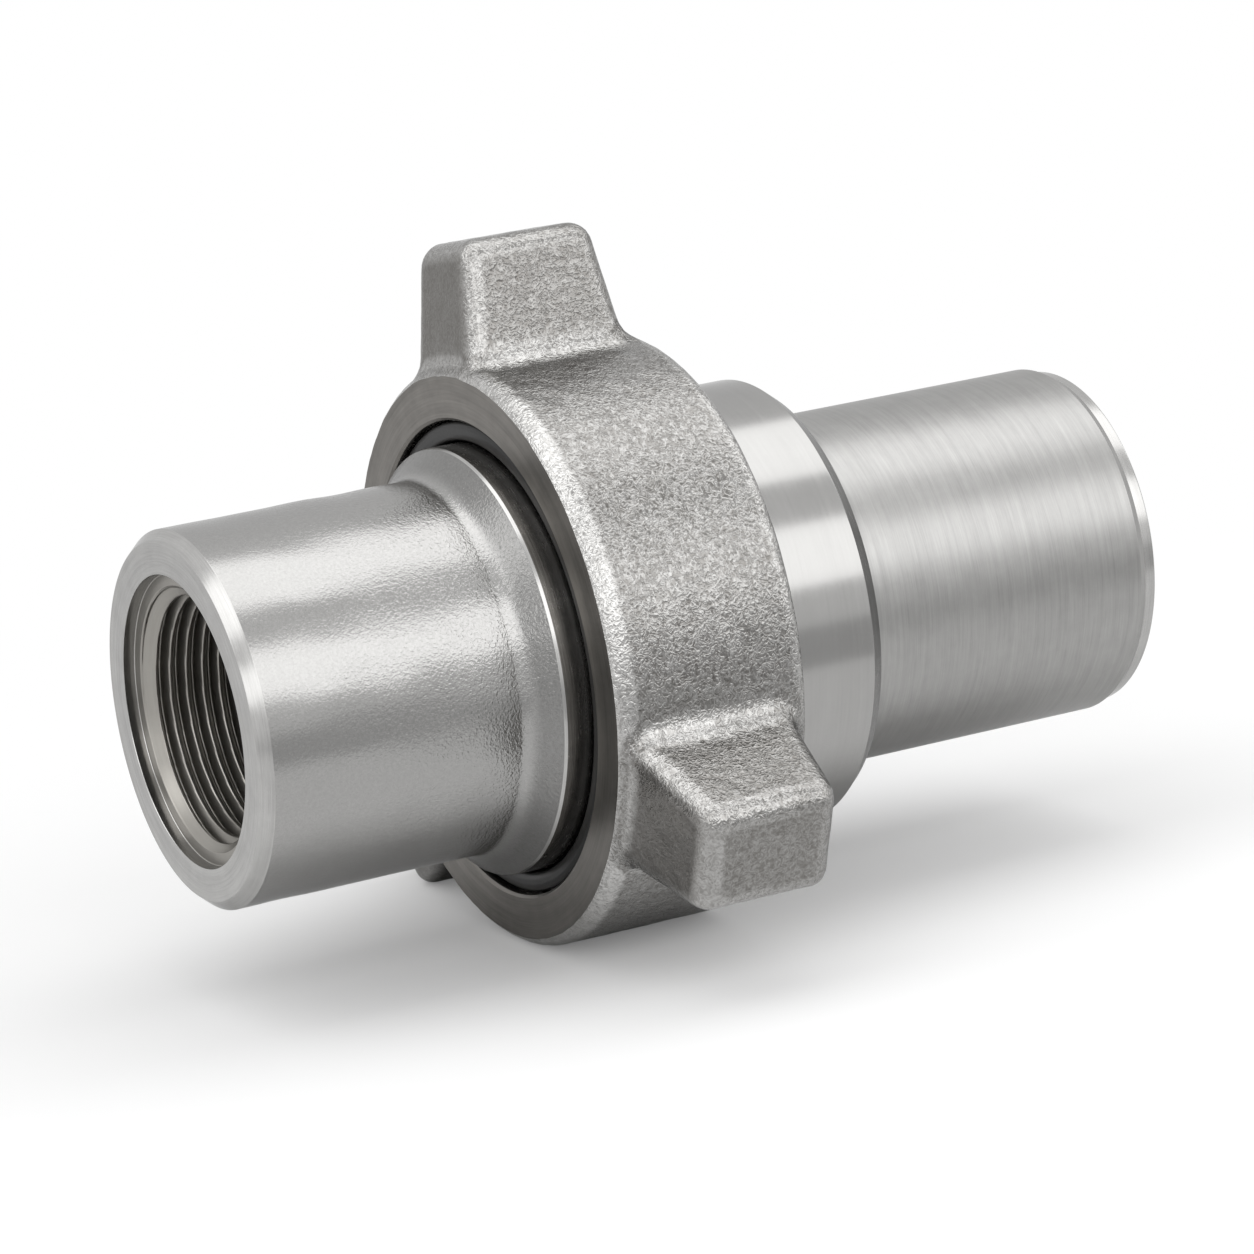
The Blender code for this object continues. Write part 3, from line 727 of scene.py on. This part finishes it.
# %% Measures of the weld sub
HEAD_FRONT = 13.3
SEAT_FRONT = 17.0
HEAD_REAR = 25.3
SEAT_REAR = 27.2
BAND_REAR = 42.1
BAND_CHAMFER = (1.8, 1.4)
WELD_END = 86.5
WIDE_BORE_END = WELD_END - 14.4
NARROW_BORE_START = WELD_END - 26.4
BEVEL_START = (2.6, 0.0)
BEVEL_MIDDLE = (1.7, 0.5)
BEVEL_DROP = 0.75

WELD_BORE_RADIUS = 16.2
WELD_RADIUS = 23.0
SEAT_RADIUS = 24.26
RECESS_RADIUS = 28.9
BAND_RADIUS = 29.0
HEAD_FACE_RADIUS = 31.3
print("weld sub, end to end:", WELD_END - HEAD_FRONT, "mm")

# %% [markdown]
# The coarse thread is trapezoidal, as on a vice or a jack, because a vee would burst the nut when it is
# hammered tight. Its radius is a slope cut off flat at the crest and the core. The nut's thread is the same
# function with wider grooves, half a pitch on.

# %% Coarse thread
COARSE_PITCH = 5.08
COARSE_MIDDLE = 32.4
COARSE_HALF_DEPTH = 1.0
COARSE_SLOPE = 1 / math.tan(math.radians(14.5))
COARSE_ROWS_PER_PITCH = 38


def coarse_thread(u, psi, half_width, low, high):
    """u and r of a trapezoidal thread: a slope of COARSE_SLOPE about half_width, cut off at low and high."""
    edges = [side * (half_width + (COARSE_MIDDLE - r) / COARSE_SLOPE) for r in (low, high) for side in (-1, 1)]
    moved = snapped(u, psi, COARSE_PITCH, COARSE_ROWS_PER_PITCH, edges)
    away = np.abs(from_turn(moved, psi, COARSE_PITCH))
    return moved, np.clip(COARSE_MIDDLE + (half_width - away) * COARSE_SLOPE, low, high)


print("coarse thread:", COARSE_PITCH, "mm pitch,", 2 * COARSE_HALF_DEPTH, "mm deep")

# %% [markdown]
# The weld sub is turned in the same way as the threaded one. On the head, 45 degree chamfers at both ends cut
# the thread off, so that it starts easily and has no razor edge.

# %% The weld sub
HEAD_CHAMFER_RADIUS = 32.2
HEAD, BAND, BREAK, WELD, BORE = range(5)

head_rows = np.arange(HEAD_FRONT, HEAD_REAR, COARSE_PITCH / COARSE_ROWS_PER_PITCH)[1:]
weld_corners = [
    (HEAD_FRONT, RECESS_RADIUS, 0.2, HEAD),
    (HEAD_FRONT, HEAD_FACE_RADIUS, 0.2, HEAD),
    *[(u, COARSE_MIDDLE + 0.1, 0, HEAD) for u in head_rows],
    (HEAD_REAR, HEAD_FACE_RADIUS, 0.2, HEAD),
    (HEAD_REAR, BAND_RADIUS, 0.5, BAND),
    (BAND_REAR - BAND_CHAMFER[0], BAND_RADIUS, 0.15, BREAK),
    (BAND_REAR, BAND_RADIUS - BAND_CHAMFER[1], 0.2, HEAD),
    (BAND_REAR, WELD_RADIUS, 1.0, WELD),
    (WELD_END - BEVEL_START[0], WELD_RADIUS - BEVEL_START[1], 0.12, WELD),
    (WELD_END - BEVEL_MIDDLE[0], WELD_RADIUS - BEVEL_MIDDLE[1], 0.12, HEAD),
    (WELD_END, WELD_RADIUS - BEVEL_DROP, 0.25, HEAD),
    (WELD_END, WELD_BORE_RADIUS, 0.4, BORE),
    (WIDE_BORE_END, WELD_BORE_RADIUS, 3.0, BORE),
    (NARROW_BORE_START, BORE_RADIUS, 3.0, BORE),
    (SEAT_REAR, BORE_RADIUS, 0.6, BORE),
    (SEAT_FRONT, SEAT_RADIUS, 0.2, HEAD),
    (SEAT_FRONT, RECESS_RADIUS, 0.4, HEAD),
]


def weld_sub_shape(u, r, psi):
    """The coarse thread on the head, cut off by 45 degree chamfers at both ends."""
    on_head = (r > COARSE_MIDDLE) & (u > HEAD_FRONT) & (u < HEAD_REAR)
    moved, thread = coarse_thread(u, psi, COARSE_PITCH / 4, CORE_RADIUS, COARSE_MIDDLE + COARSE_HALF_DEPTH)
    inside = on_head & (moved > HEAD_FRONT) & (moved < HEAD_REAR)
    u = np.where(inside, moved, u)
    chamfers = HEAD_CHAMFER_RADIUS + np.minimum(u - HEAD_FRONT, HEAD_REAR - u)
    return u, np.where(on_head, np.minimum(thread, chamfers), r)


weld_outline, weld_zones = rounded_outline(weld_corners, OUTLINE_STEP)
turned_piece("weld_sub_steel", weld_outline, weld_zones,
             [turned_face, band_steel, chamfer_painted_shade_steel, brushed_steel, thread_steel], "weld_half", "weld_sub",
             weld_sub_shape)

# %% [markdown]
# The nut is the part that makes the union what it is: a ring with three hammer lugs, forged in one blow. A
# forging has no sharp inside corner anywhere, so joining a ring and three blocks with a Boolean would look
# wrong. Here the whole skin is one grid, and every point of it slides onto the place where a distance is zero.
# First come the two helpers for that distance: one for a box with rounded edges, and one that folds the three
# lugs onto each other, so that only one has to be described.

# %% Distance to a rounded box, and to the nearest lug
LUG_COUNT = 3
LUG_PSI = math.radians(90 - 8.495)


def rounded_distance(past, rounding):
    """Signed distance to a box with rounded edges: |max(q, 0)| + min(max(q), 0) - rounding.

    q is how far a point lies past each pair of sides, after the sides are drawn in by the rounding.
    """
    q = past + rounding
    return np.linalg.norm(np.maximum(q, 0), axis=0) + np.minimum(q.max(axis=0), 0) - rounding


def lug_coordinates(y, z):
    """Height along the nearest lug, the place across it, and r, of points round the axis."""
    r, psi = np.hypot(y, z), np.arctan2(z, y)
    sector = 2 * np.pi / LUG_COUNT
    turn = (psi - LUG_PSI + sector / 2) % sector - sector / 2
    return r * np.cos(turn), r * np.sin(turn), r


print("lugs at", [round(math.degrees(LUG_PSI) + 360 / LUG_COUNT * i, 1) for i in range(LUG_COUNT)], "degrees")

# %% [markdown]
# The distance to the nut is the smaller of the distances to its ring and to the nearest lug, blended softly
# where the two are alike. The blend makes the root fillets. It reaches further on the rim than at the front,
# where the lathe cut through the forging and left a tight corner.

# %% Distance to the nut
NUT_LENGTH = 25.7
NUT_RADIUS = 37.5
NUT_FRONT_PLANE, NUT_REAR_PLANE = -0.6, 26.2
NUT_FRONT_ROUND, NUT_REAR_ROUND = 3.1, 2.0
LUG_TIP = 52.5
LUG_HALF_BASE, LUG_HALF_TIP = 8.8, 7.3
LUG_FRONT_BASE, LUG_FRONT_TIP = 1.3, 3.6
LUG_REAR_BASE, LUG_REAR_TIP = 23.5, 21.7
LUG_EDGE = 2.5
ROOT_REACH, FRONT_REACH = 2.6, 1.4
REACH_GROWS = (1.0, 5.0)


def soft_distance(points):
    """Distance to the nut before its waves: ring and lug, blended where they are closer than a reach.

    The blend is min(a, b) - (reach - |a - b|)^2 / (4 reach), which leaves a soft root fillet. The reach grows
    from FRONT_REACH at the nut's face to ROOT_REACH on the rim.
    """
    u, y, z = points
    height, across, r = lug_coordinates(y, z)
    share = (height - NUT_RADIUS) / (LUG_TIP - NUT_RADIUS)
    front = LUG_FRONT_BASE + (LUG_FRONT_TIP - LUG_FRONT_BASE) * share
    rear = LUG_REAR_BASE + (LUG_REAR_TIP - LUG_REAR_BASE) * share
    half = LUG_HALF_BASE + (LUG_HALF_TIP - LUG_HALF_BASE) * share
    past_lug = np.stack((np.maximum(front - u, u - rear), np.abs(across) - half, height - LUG_TIP))
    past_ring = np.stack((np.maximum(NUT_FRONT_PLANE - u, u - NUT_REAR_PLANE), r - NUT_RADIUS))
    rounding = np.where(u < NUT_LENGTH / 2, NUT_FRONT_ROUND, NUT_REAR_ROUND)
    lug = rounded_distance(past_lug, LUG_EDGE)
    ring = rounded_distance(past_ring, rounding)
    reach = np.interp(u, REACH_GROWS, (FRONT_REACH, ROOT_REACH))
    near = np.maximum(reach - np.abs(lug - ring), 0)
    return np.minimum(lug, ring) - near**2 / (4 * reach)


def nut_distance(points):
    """Distance to the forged skin: the soft shape less long and short waves."""
    waves = forged_waves(points, 2.6, 6.5, 0.022, 18, 11) + forged_waves(points, 1.5, 2.2, 0.010, 14, 12)
    return soft_distance(points) - waves


# %% [markdown]
# A point near the skin slides onto it by Newton's method: the distance says how far it has to go, and the
# slope of the distance says which way. A few steps bring every point within a thousandth of a millimetre.
# The second function measures how sharply the shape bends at a point, for the material's edges lightened by wear
# and a painted highlight.

# %% Slide points onto the skin
SLOPE_STEP = 0.01
SLIDES = 7
BEND_STEP = 0.8


def steps_along_axes(length):
    """The three steps of that length along u, y and z."""
    return length * np.eye(3)[:, :, None, None]


def onto_skin(points):
    """Newton steps along the slope: p - f(p) grad f / |grad f|^2, with the slope by central differences."""
    for _ in range(SLIDES):
        value = nut_distance(points)
        slope = np.stack([(nut_distance(points + step) - nut_distance(points - step)) / (2 * SLOPE_STEP)
                          for step in steps_along_axes(SLOPE_STEP)])
        points = points - slope * value / (slope**2).sum(axis=0)
    return points


def bend_of(points):
    """How sharply the soft shape bends: the Laplacian of its distance, which is 1 / radius on a rounded edge.

    It is the sum of the distances one BEND_STEP away along each axis, less six times the middle one, over the
    step squared. In a fillet it is below zero.
    """
    total = -6 * soft_distance(points)
    for step in steps_along_axes(BEND_STEP):
        total += soft_distance(points + step) + soft_distance(points - step)
    return total / BEND_STEP**2


# %% [markdown]
# The grid's columns are given by a few keys: where each column stands on the ring, how far it is lifted up the
# lug, and where it ends on the lug's top. Each third of the nut has 205 of them.

# %% Columns of one third of the nut
TOP_AT, SIDE_AT, RING_AT = 14, 41, 102.5
TOP_TURN, SIDE_TURN, RING_TURN = 12.5, 18.6, 60
TOP_INNER, TOP_EDGE = 6.4, 7.3


def one_sector():
    """Turn, lift and place on the lug's top of the 205 columns of one third of the nut."""
    column = np.arange(math.ceil(-RING_AT), math.floor(RING_AT) + 1)
    keys = (0, TOP_AT, SIDE_AT, RING_AT)
    turn = np.radians(np.interp(np.abs(column), keys, (0, TOP_TURN, SIDE_TURN, RING_TURN)))
    lift = np.interp(np.abs(column), keys, (1, 1, 0, 0))
    top = np.interp(np.abs(column), keys, (0, TOP_INNER, TOP_EDGE, TOP_EDGE))
    return np.sign(column) * turn, lift, np.sign(column) * top


def ring_in_plane(u, psi):
    """Radius where the skin meets a machined plane, by halving the range that holds it 30 times."""
    low, high = np.full(psi.shape, 33.0), np.full(psi.shape, 41.0)
    for _ in range(30):
        r = (low + high) / 2
        inside = nut_distance(np.stack((np.full(psi.shape, u), r * np.cos(psi), r * np.sin(psi)))) < 0
        low, high = np.where(inside, r, low), np.where(inside, high, r)
    return low


# %% [markdown]
# The rows have keys of the same kind: from the front face over the rim or the lug's top to the rear. A point's
# lift is the product of its column's and its row's, so at the four upright edges of a lug the grid runs
# diagonally round the edge and nowhere folds.

# %% Starting grid of the nut's skin
FRONT_ROWS, REAR_ROWS, RING_ROWS, SKIN_ROWS = 26, 65, 85, 92
ROW_KEYS = (0, FRONT_ROWS, REAR_ROWS, RING_ROWS, SKIN_ROWS - 1)
FACE_RING_RADIUS = 35.9


def on_lug_axes(height, across, psi):
    """y and z of a place on the lug that stands at psi."""
    return (height * math.cos(psi) - across * math.sin(psi), height * math.sin(psi) + across * math.cos(psi))


def skin_start():
    """Starting points (3, rows, columns), and psi of the columns where they stand on the ring."""
    turn, lift, top = one_sector()
    row = np.arange(SKIN_ROWS)[:, None]
    row_lift = np.interp(row, ROW_KEYS, (0, 1, 1, 0, 0))
    ring_u = np.interp(row, ROW_KEYS, (0, 4.2, 22.6, 24.9, NUT_LENGTH))
    ring_r = np.interp(ring_u, (0, 1.2, 3.0, 24.6, NUT_LENGTH),
                       (FACE_RING_RADIUS, 37.1, NUT_RADIUS, NUT_RADIUS, 36.8))
    lug_u = np.interp(row, ROW_KEYS, (0.9, 4.5, 20.8, 23.6, 24.5))
    on_face = ring_in_plane(0.0, LUG_PSI + turn) - FACE_RING_RADIUS
    ring_r = ring_r + on_face * np.clip(1 - row / FRONT_ROWS, 0, 1)
    both = lift * row_lift
    height = ring_r * np.cos(turn) + (LUG_TIP - ring_r * np.cos(turn)) * both
    across = ring_r * np.sin(turn) + (top - ring_r * np.sin(turn)) * both
    u = ring_u + (lug_u - ring_u) * lift * np.clip(row_lift * 5, 0, 1)
    lug_psi = [LUG_PSI + 2 * np.pi * i / LUG_COUNT for i in range(LUG_COUNT)]
    thirds = [np.stack((u, *on_lug_axes(height, across, psi))) for psi in lug_psi]
    return np.concatenate(thirds, axis=2), np.concatenate([psi + turn for psi in lug_psi])


# %% [markdown]
# The two outermost rows aren't free to slide: they lie where the skin meets the flat faces that the lathe cut.
# The row next to each is kept just inside that face.

# %% The nut's skin
FACE_MARGIN = 0.03

skin, skin_psi = skin_start()
skin = onto_skin(skin)
skin[0] = np.clip(skin[0], FACE_MARGIN, NUT_LENGTH - FACE_MARGIN)
for row, plane in ((0, 0.0), (-1, NUT_LENGTH)):
    ring_r = ring_in_plane(plane, skin_psi)
    skin[:, row] = np.stack((np.full(len(skin_psi), plane), ring_r * np.cos(skin_psi), ring_r * np.sin(skin_psi)))
left_over = np.abs(nut_distance(skin[:, 1:-1]))
print("nut skin:", skin.shape[1:], "furthest from the skin:", round(float(left_over.max()), 4), "mm")

# %% [markdown]
# Inside, the nut is plain lathe work: the mouth, the lip that bears on the shoulder, a relief groove and the
# coarse thread. Its columns are every third one of the skin. At the rear the thread ends in a chamfer wide
# enough to clear the weld sub's thread as that is drawn out.

# %% Outline of the nut's bore
FORGED, FLAT, BORED = range(3)
MOUTH_RADIUS = 30.6
MOUTH_CHAMFER = 0.35
LIP_FRONT, LIP_REAR, LIP_RADIUS = 3.2, 7.0, 28.1
RELIEF_RADIUS = 33.85
THREAD_START = 12.6
ENTRY_CHAMFER_RADIUS = 33.85
BORE_ROW_RADIUS = 33.2

bore_rows = np.arange(THREAD_START, NUT_LENGTH, COARSE_PITCH / COARSE_ROWS_PER_PITCH)[:0:-1]
bore_corners = [
    (NUT_LENGTH, ENTRY_CHAMFER_RADIUS, 0, BORED),
    *[(u, BORE_ROW_RADIUS, 0, BORED) for u in bore_rows],
    (THREAD_START, RELIEF_RADIUS, 0, BORED),
    (LIP_REAR, RELIEF_RADIUS, 0.4, BORED),
    (LIP_REAR, LIP_RADIUS, 0.3, BORED),
    (LIP_FRONT, LIP_RADIUS, 0.3, BORED),
    (LIP_FRONT, MOUTH_RADIUS, 0.2, BORED),
    (MOUTH_CHAMFER, MOUTH_RADIUS, 0.1, FLAT),
    (0.0, MOUTH_RADIUS + MOUTH_CHAMFER, 0, FLAT),
]
bore_outline, bore_zones = rounded_outline(bore_corners, OUTLINE_STEP, closed=False)
print("nut's bore outline:", bore_outline.shape)

# %% [markdown]
# The rows of the thread stand at a radius that no other point of the outline has, so they are easy to pick
# out. They take the radius of the groove, or of the run-out or the chamfer where that is larger.

# %% Thread of the nut
RUN_OUT = 0.8
THREAD_CLEARANCE = 0.35

bore_psi = skin_psi[None, ::3]
bore_u, bore_r = bore_outline[:, :1], bore_outline[:, 1:]
threaded = (bore_u > THREAD_START) & (bore_u < NUT_LENGTH) & (np.abs(bore_r - BORE_ROW_RADIUS) < 0.01)
moved, groove = coarse_thread(bore_u, bore_psi, COARSE_PITCH / 4 + THREAD_CLEARANCE,
                              CORE_RADIUS + THREAD_CLEARANCE, COARSE_MIDDLE + COARSE_HALF_DEPTH + THREAD_CLEARANCE)
bore_u = np.where(threaded & (moved > THREAD_START) & (moved < NUT_LENGTH), moved, bore_u)
run_out = RELIEF_RADIUS - (bore_u - THREAD_START) * (RELIEF_RADIUS - CORE_RADIUS) / RUN_OUT
entry = ENTRY_CHAMFER_RADIUS - (NUT_LENGTH - bore_u)
bore_r = np.where(threaded, np.maximum(groove, np.maximum(run_out, entry)), bore_r)
bore = np.stack(np.broadcast_arrays(bore_u, bore_r * np.cos(bore_psi), bore_r * np.sin(bore_psi)))
print("nut's bore:", bore.shape[1:], "grid")

# %% [markdown]
# Skin and bore are closed into one mesh by the flat front and rear. The bore has a third as many columns, so
# the faces there have six sides: one inside edge against three outside. Where cut and forging meet, the edge
# is marked sharp.

# %% Mesh of the nut
def six_sided_strip(fine, coarse):
    """Faces between a ring of vertices and one with a third as many: four corners outside, two inside."""
    i = np.arange(len(coarse))[:, None]
    outside = fine[(3 * i + np.arange(4)) % len(fine)]
    inside = coarse[np.concatenate((i + 1, i), axis=1) % len(coarse)]
    return np.concatenate((outside, inside), axis=1)


skin_rows, skin_columns = skin.shape[1:]
bore_first = skin_rows * skin_columns
bore_columns = bore.shape[2]
skin_front = np.arange(skin_columns)
skin_rear = skin_front + bore_first - skin_columns
bore_rear = np.arange(bore_columns) + bore_first
bore_front = bore_rear + (bore.shape[1] - 1) * bore_columns
groups = [
    (grid_faces(skin_rows, skin_columns, closed=False), FORGED),
    (grid_faces(bore.shape[1], bore_columns, bore_first, closed=False), np.repeat(bore_zones[:-1], bore_columns)),
    (six_sided_strip(skin_rear, bore_rear), FLAT),
    (six_sided_strip(skin_front, bore_front)[:, ::-1], FLAT),
]
vertices = np.concatenate((skin.reshape(3, -1), bore.reshape(3, -1)), axis=1)
wing_nut = new_piece("wing_nut_steel", in_frame(*vertices), groups, [forging_skin, nut_face_steel, collar_steel],
                     "nut", "wing_nut", (skin_front, skin_rear, bore_rear, bore_front))
bend = np.concatenate((bend_of(skin).ravel(), np.zeros(bore[0].size))).astype(np.float32)
wing_nut.data.attributes.new("bend", "FLOAT", "POINT").data.foreach_set("value", bend)
print("bend of the forging, 1 / mm: from", round(float(bend.min()), 2), "to", round(float(bend.max()), 2))

# %% [markdown]
# Two rubber rings finish the joint: one fills the nut's mouth round the collar and keeps dirt off the thread,
# the other seals the ball nose. Rubber has no sharp edge at all, so their outlines are rounded generously. The
# seal's inner side lies just outside the ball of the nose.

# %% Rubber rings
MOUTH_RING_INNER, MOUTH_RING_OUTER = 27.8, 30.3
MOUTH_RING_FRONT, MOUTH_RING_EDGE, MOUTH_RING_REAR = 0.8, 1.0, 2.9
MOUTH_RING_CROWN = (29.4, 28.7)
SEAL_FRONT, SEAL_REAR, SEAL_RADIUS = 13.6, 16.7, 28.6
SEAL_CLEARANCE = 0.3

ring_corners = [
    (MOUTH_RING_REAR, MOUTH_RING_INNER, 0.3, 0),
    (MOUTH_RING_REAR, MOUTH_RING_OUTER, 0.3, 0),
    (MOUTH_RING_EDGE, MOUTH_RING_OUTER, 0.6, 0),
    (MOUTH_RING_FRONT, MOUTH_RING_CROWN[0], 1.2, 0),
    (MOUTH_RING_FRONT, MOUTH_RING_CROWN[1], 1.2, 0),
    (MOUTH_RING_EDGE, MOUTH_RING_INNER, 0.6, 0),
]
ring_outline, ring_zones = rounded_outline(ring_corners, 0.4)
turned_piece("mouth_ring_rubber", ring_outline, ring_zones, [ring_rubber], "threaded_half", "mouth_ring")

seal_u = np.linspace(SEAL_REAR, SEAL_FRONT, 6)
seal_r = np.sqrt((ball_radius + SEAL_CLEARANCE) ** 2 - (seal_u - ball_centre) ** 2)
seal_corners = [
    *[(u, r, 0, 0) for u, r in zip(seal_u, seal_r)],
    (SEAL_FRONT, SEAL_RADIUS, 0.4, 0),
    (SEAL_REAR, SEAL_RADIUS, 0.3, 0),
]
seal_outline, seal_zones = rounded_outline(seal_corners, 0.5)
turned_piece("seal_ring_rubber", seal_outline, seal_zones, [seal_rubber], "weld_half", "seal_ring")

# %% [markdown]
# The camera stands where the photograph was taken from. Its directions were fitted to the outlines in the
# picture, and then turned with the union round its own axis into the pose in which it rests.

# %% Camera
LENS_MM = 160.0
SENSOR_MM = 36.0
FRAME_PX = 1254
RIGHT = Vector((0.88240, -0.45970, -0.10023))
DOWN = Vector((-0.18590, -0.14494, -0.97182))
FORWARD = Vector((0.43222, 0.87617, -0.21336))
NUT_FRONT_PX = (483.8, 658.8)
NUT_FRONT_DEPTH = 0.7053

focal_px = LENS_MM / SENSOR_MM * FRAME_PX
sideways = (NUT_FRONT_PX[0] - FRAME_PX / 2) / focal_px * NUT_FRONT_DEPTH
downwards = (NUT_FRONT_PX[1] - FRAME_PX / 2) / focal_px * NUT_FRONT_DEPTH
eye = nut_front - FORWARD * NUT_FRONT_DEPTH - RIGHT * sideways - DOWN * downwards
camera_data = bpy.data.cameras.new("camera")
camera_data.lens = LENS_MM
camera_data.sensor_width = SENSOR_MM
camera = bpy.data.objects.new("camera", camera_data)
camera.matrix_world = Matrix.Translation(eye) @ Matrix((RIGHT, -DOWN, -FORWARD)).transposed().to_4x4()
bpy.context.scene.collection.objects.link(camera)
bpy.context.scene.camera = camera
print("camera at", [round(value, 4) for value in eye])

# %% [markdown]
# Bare steel shows nothing of its own, only what it mirrors. So the light matters as much as the metal here.
# The photograph's bright and dark bands tell where the studio's lights stood: one long softbox overhead, one
# in front at about 30 degrees, and below that a grey card that lies on the floor. Two area lamps and a card
# stand in those places. The white world behind a lamp shines through it, so a lamp adds to the world's white.

# %% Lamps
LAMP_DISTANCE = 1.0
LAMP_LENGTH = 4.4
LAMP_RADIANCE = 1.1


def softbox(name, ring_angle, width):
    """A long area lamp parallel to the union, at an angle round it: 0 is towards the camera, 90 overhead.

    An area lamp's radiance is its power / (4 area), so its power is 4 * radiance * width * length.
    """
    lamp_data = bpy.data.lights.new(name, "AREA")
    lamp_data.shape = "RECTANGLE"
    lamp_data.size, lamp_data.size_y = LAMP_LENGTH, width
    lamp_data.energy = 4 * LAMP_RADIANCE * width * LAMP_LENGTH
    angle = math.radians(ring_angle)
    away = Vector((0, -math.cos(angle), math.sin(angle)))
    along = Vector((1, 0, 0))
    lamp = bpy.data.objects.new(name, lamp_data)
    place = nut_front + away * LAMP_DISTANCE
    lamp.matrix_world = Matrix.Translation(place) @ Matrix((along, away.cross(along), away)).transposed().to_4x4()
    bpy.context.scene.collection.objects.link(lamp)
    print(f"{name}: {lamp_data.energy:.2f} W")


softbox("overhead_softbox", 92, 0.72)
softbox("front_softbox", 31.5, 0.57)

# %% [markdown]
# The world is pure white where the camera or a reflection looks at it, and gives a weaker light to dull
# surfaces, so that the floor keeps its shadow. The Light Path node tells these rays apart.

# %% White world
WORLD_LIGHT = 0.55


def mirrored_ray(tree, path):
    """1 for glossy and transmission rays, else 0."""
    return maths(tree, "MAXIMUM", path.outputs["Is Glossy Ray"], path.outputs["Is Transmission Ray"])


world = bpy.data.worlds.new("white_studio")
world.use_nodes = True
bpy.context.scene.world = world
tree = world.node_tree
path = add_node(tree, "ShaderNodeLightPath")
seen = maths(tree, "MAXIMUM", path.outputs["Is Camera Ray"], mirrored_ray(tree, path))
background = tree.nodes["Background"]
background.inputs["Color"].default_value = (1, 1, 1, 1)
tree.links.new(maths(tree, "MULTIPLY_ADD", seen, 1 - WORLD_LIGHT, WORLD_LIGHT), background.inputs["Strength"])
print("world: 1.0 for the camera and reflections,", WORLD_LIGHT, "as light")

# %% [markdown]
# The card lies on the floor in front of the union and is seen only in reflections. It gives the grey band low
# on the cylinders, without which they would look flat against the white floor.

# %% Grey card
CARD_GREY = 0.62
CARD_NEAR, CARD_FAR = -0.095, -0.50
CARD_LEFT, CARD_RIGHT = -0.30, 0.80
CARD_HEIGHT = 0.001


def flat_sheet(name, left, right, front, back, height):
    """A level rectangle, and the empty tree of its material."""
    finish = bpy.data.materials.new(name)
    finish.use_nodes = True
    finish.node_tree.nodes.clear()
    mesh = bpy.data.meshes.new(name)
    corners = [(left, front, height), (right, front, height), (right, back, height), (left, back, height)]
    mesh.from_pydata(corners, [], [(0, 1, 2, 3)])
    mesh.materials.append(finish)
    sheet = bpy.data.objects.new(name, mesh)
    bpy.context.scene.collection.objects.link(sheet)
    return sheet, finish.node_tree


card, tree = flat_sheet("grey_card", CARD_LEFT, CARD_RIGHT, CARD_FAR, CARD_NEAR, CARD_HEIGHT)
card.visible_camera = False
card.visible_diffuse = False
card.visible_shadow = False
glow = add_node(tree, "ShaderNodeEmission", {"Color": (1, 1, 1, 1), "Strength": CARD_GREY})
add_node(tree, "ShaderNodeOutputMaterial", {"Surface": glow.outputs[0]})
print("grey card:", CARD_RIGHT - CARD_LEFT, "by", round(CARD_NEAR - CARD_FAR, 3), "m")

# %% [markdown]
# The floor is a plain white sheet. Far from the union it turns into pure white for the camera and for
# reflections, so that no horizon shows, and close to it it keeps the soft shadow.

# %% Floor
FLOOR_HALF = 6.0
FLOOR_WHITE = 0.9
SEEN_WHITE_FROM, SEEN_WHITE_TO, SEEN_WHITE_LEAST = 0.08, 0.25, 0.15
MIRRORED_WHITE_FROM, MIRRORED_WHITE_TO = 0.06, 0.14
FRONT_WHITE_FROM, FRONT_WHITE_TO = -0.010, -0.035

floor, tree = flat_sheet("floor", -FLOOR_HALF, FLOOR_HALF, -FLOOR_HALF, FLOOR_HALF, 0)
place = add_node(tree, "ShaderNodeTexCoord").outputs["Object"]
reach = add_node(tree, "ShaderNodeVectorMath", {0: place}, operation="LENGTH").outputs["Value"]
path = add_node(tree, "ShaderNodeLightPath")
far_seen = ramp(tree, reach, SEEN_WHITE_FROM, SEEN_WHITE_TO, low=SEEN_WHITE_LEAST)
before = ramp(tree, parts_of(tree, place)[1], FRONT_WHITE_FROM, FRONT_WHITE_TO)
far_mirrored = maths(tree, "MAXIMUM", before, ramp(tree, reach, MIRRORED_WHITE_FROM, MIRRORED_WHITE_TO))
whitening = maths(tree, "MAXIMUM", product(tree, far_seen, path.outputs["Is Camera Ray"]),
                  product(tree, far_mirrored, mirrored_ray(tree, path)))
paper = add_node(tree, "ShaderNodeBsdfDiffuse", {"Color": (FLOOR_WHITE, FLOOR_WHITE, FLOOR_WHITE, 1)})
white = add_node(tree, "ShaderNodeEmission", {"Color": (1, 1, 1, 1), "Strength": 1.0})
mix = add_node(tree, "ShaderNodeMixShader", {0: whitening, 1: paper.outputs[0], 2: white.outputs[0]})
add_node(tree, "ShaderNodeOutputMaterial", {"Surface": mix.outputs[0]})
print("floor: white beyond", SEEN_WHITE_TO, "m")

# %% [markdown]
# The Standard view transform keeps white paper white, as the photograph has it.

# %% View transform, and the end
bpy.context.scene.view_settings.view_transform = "Standard"
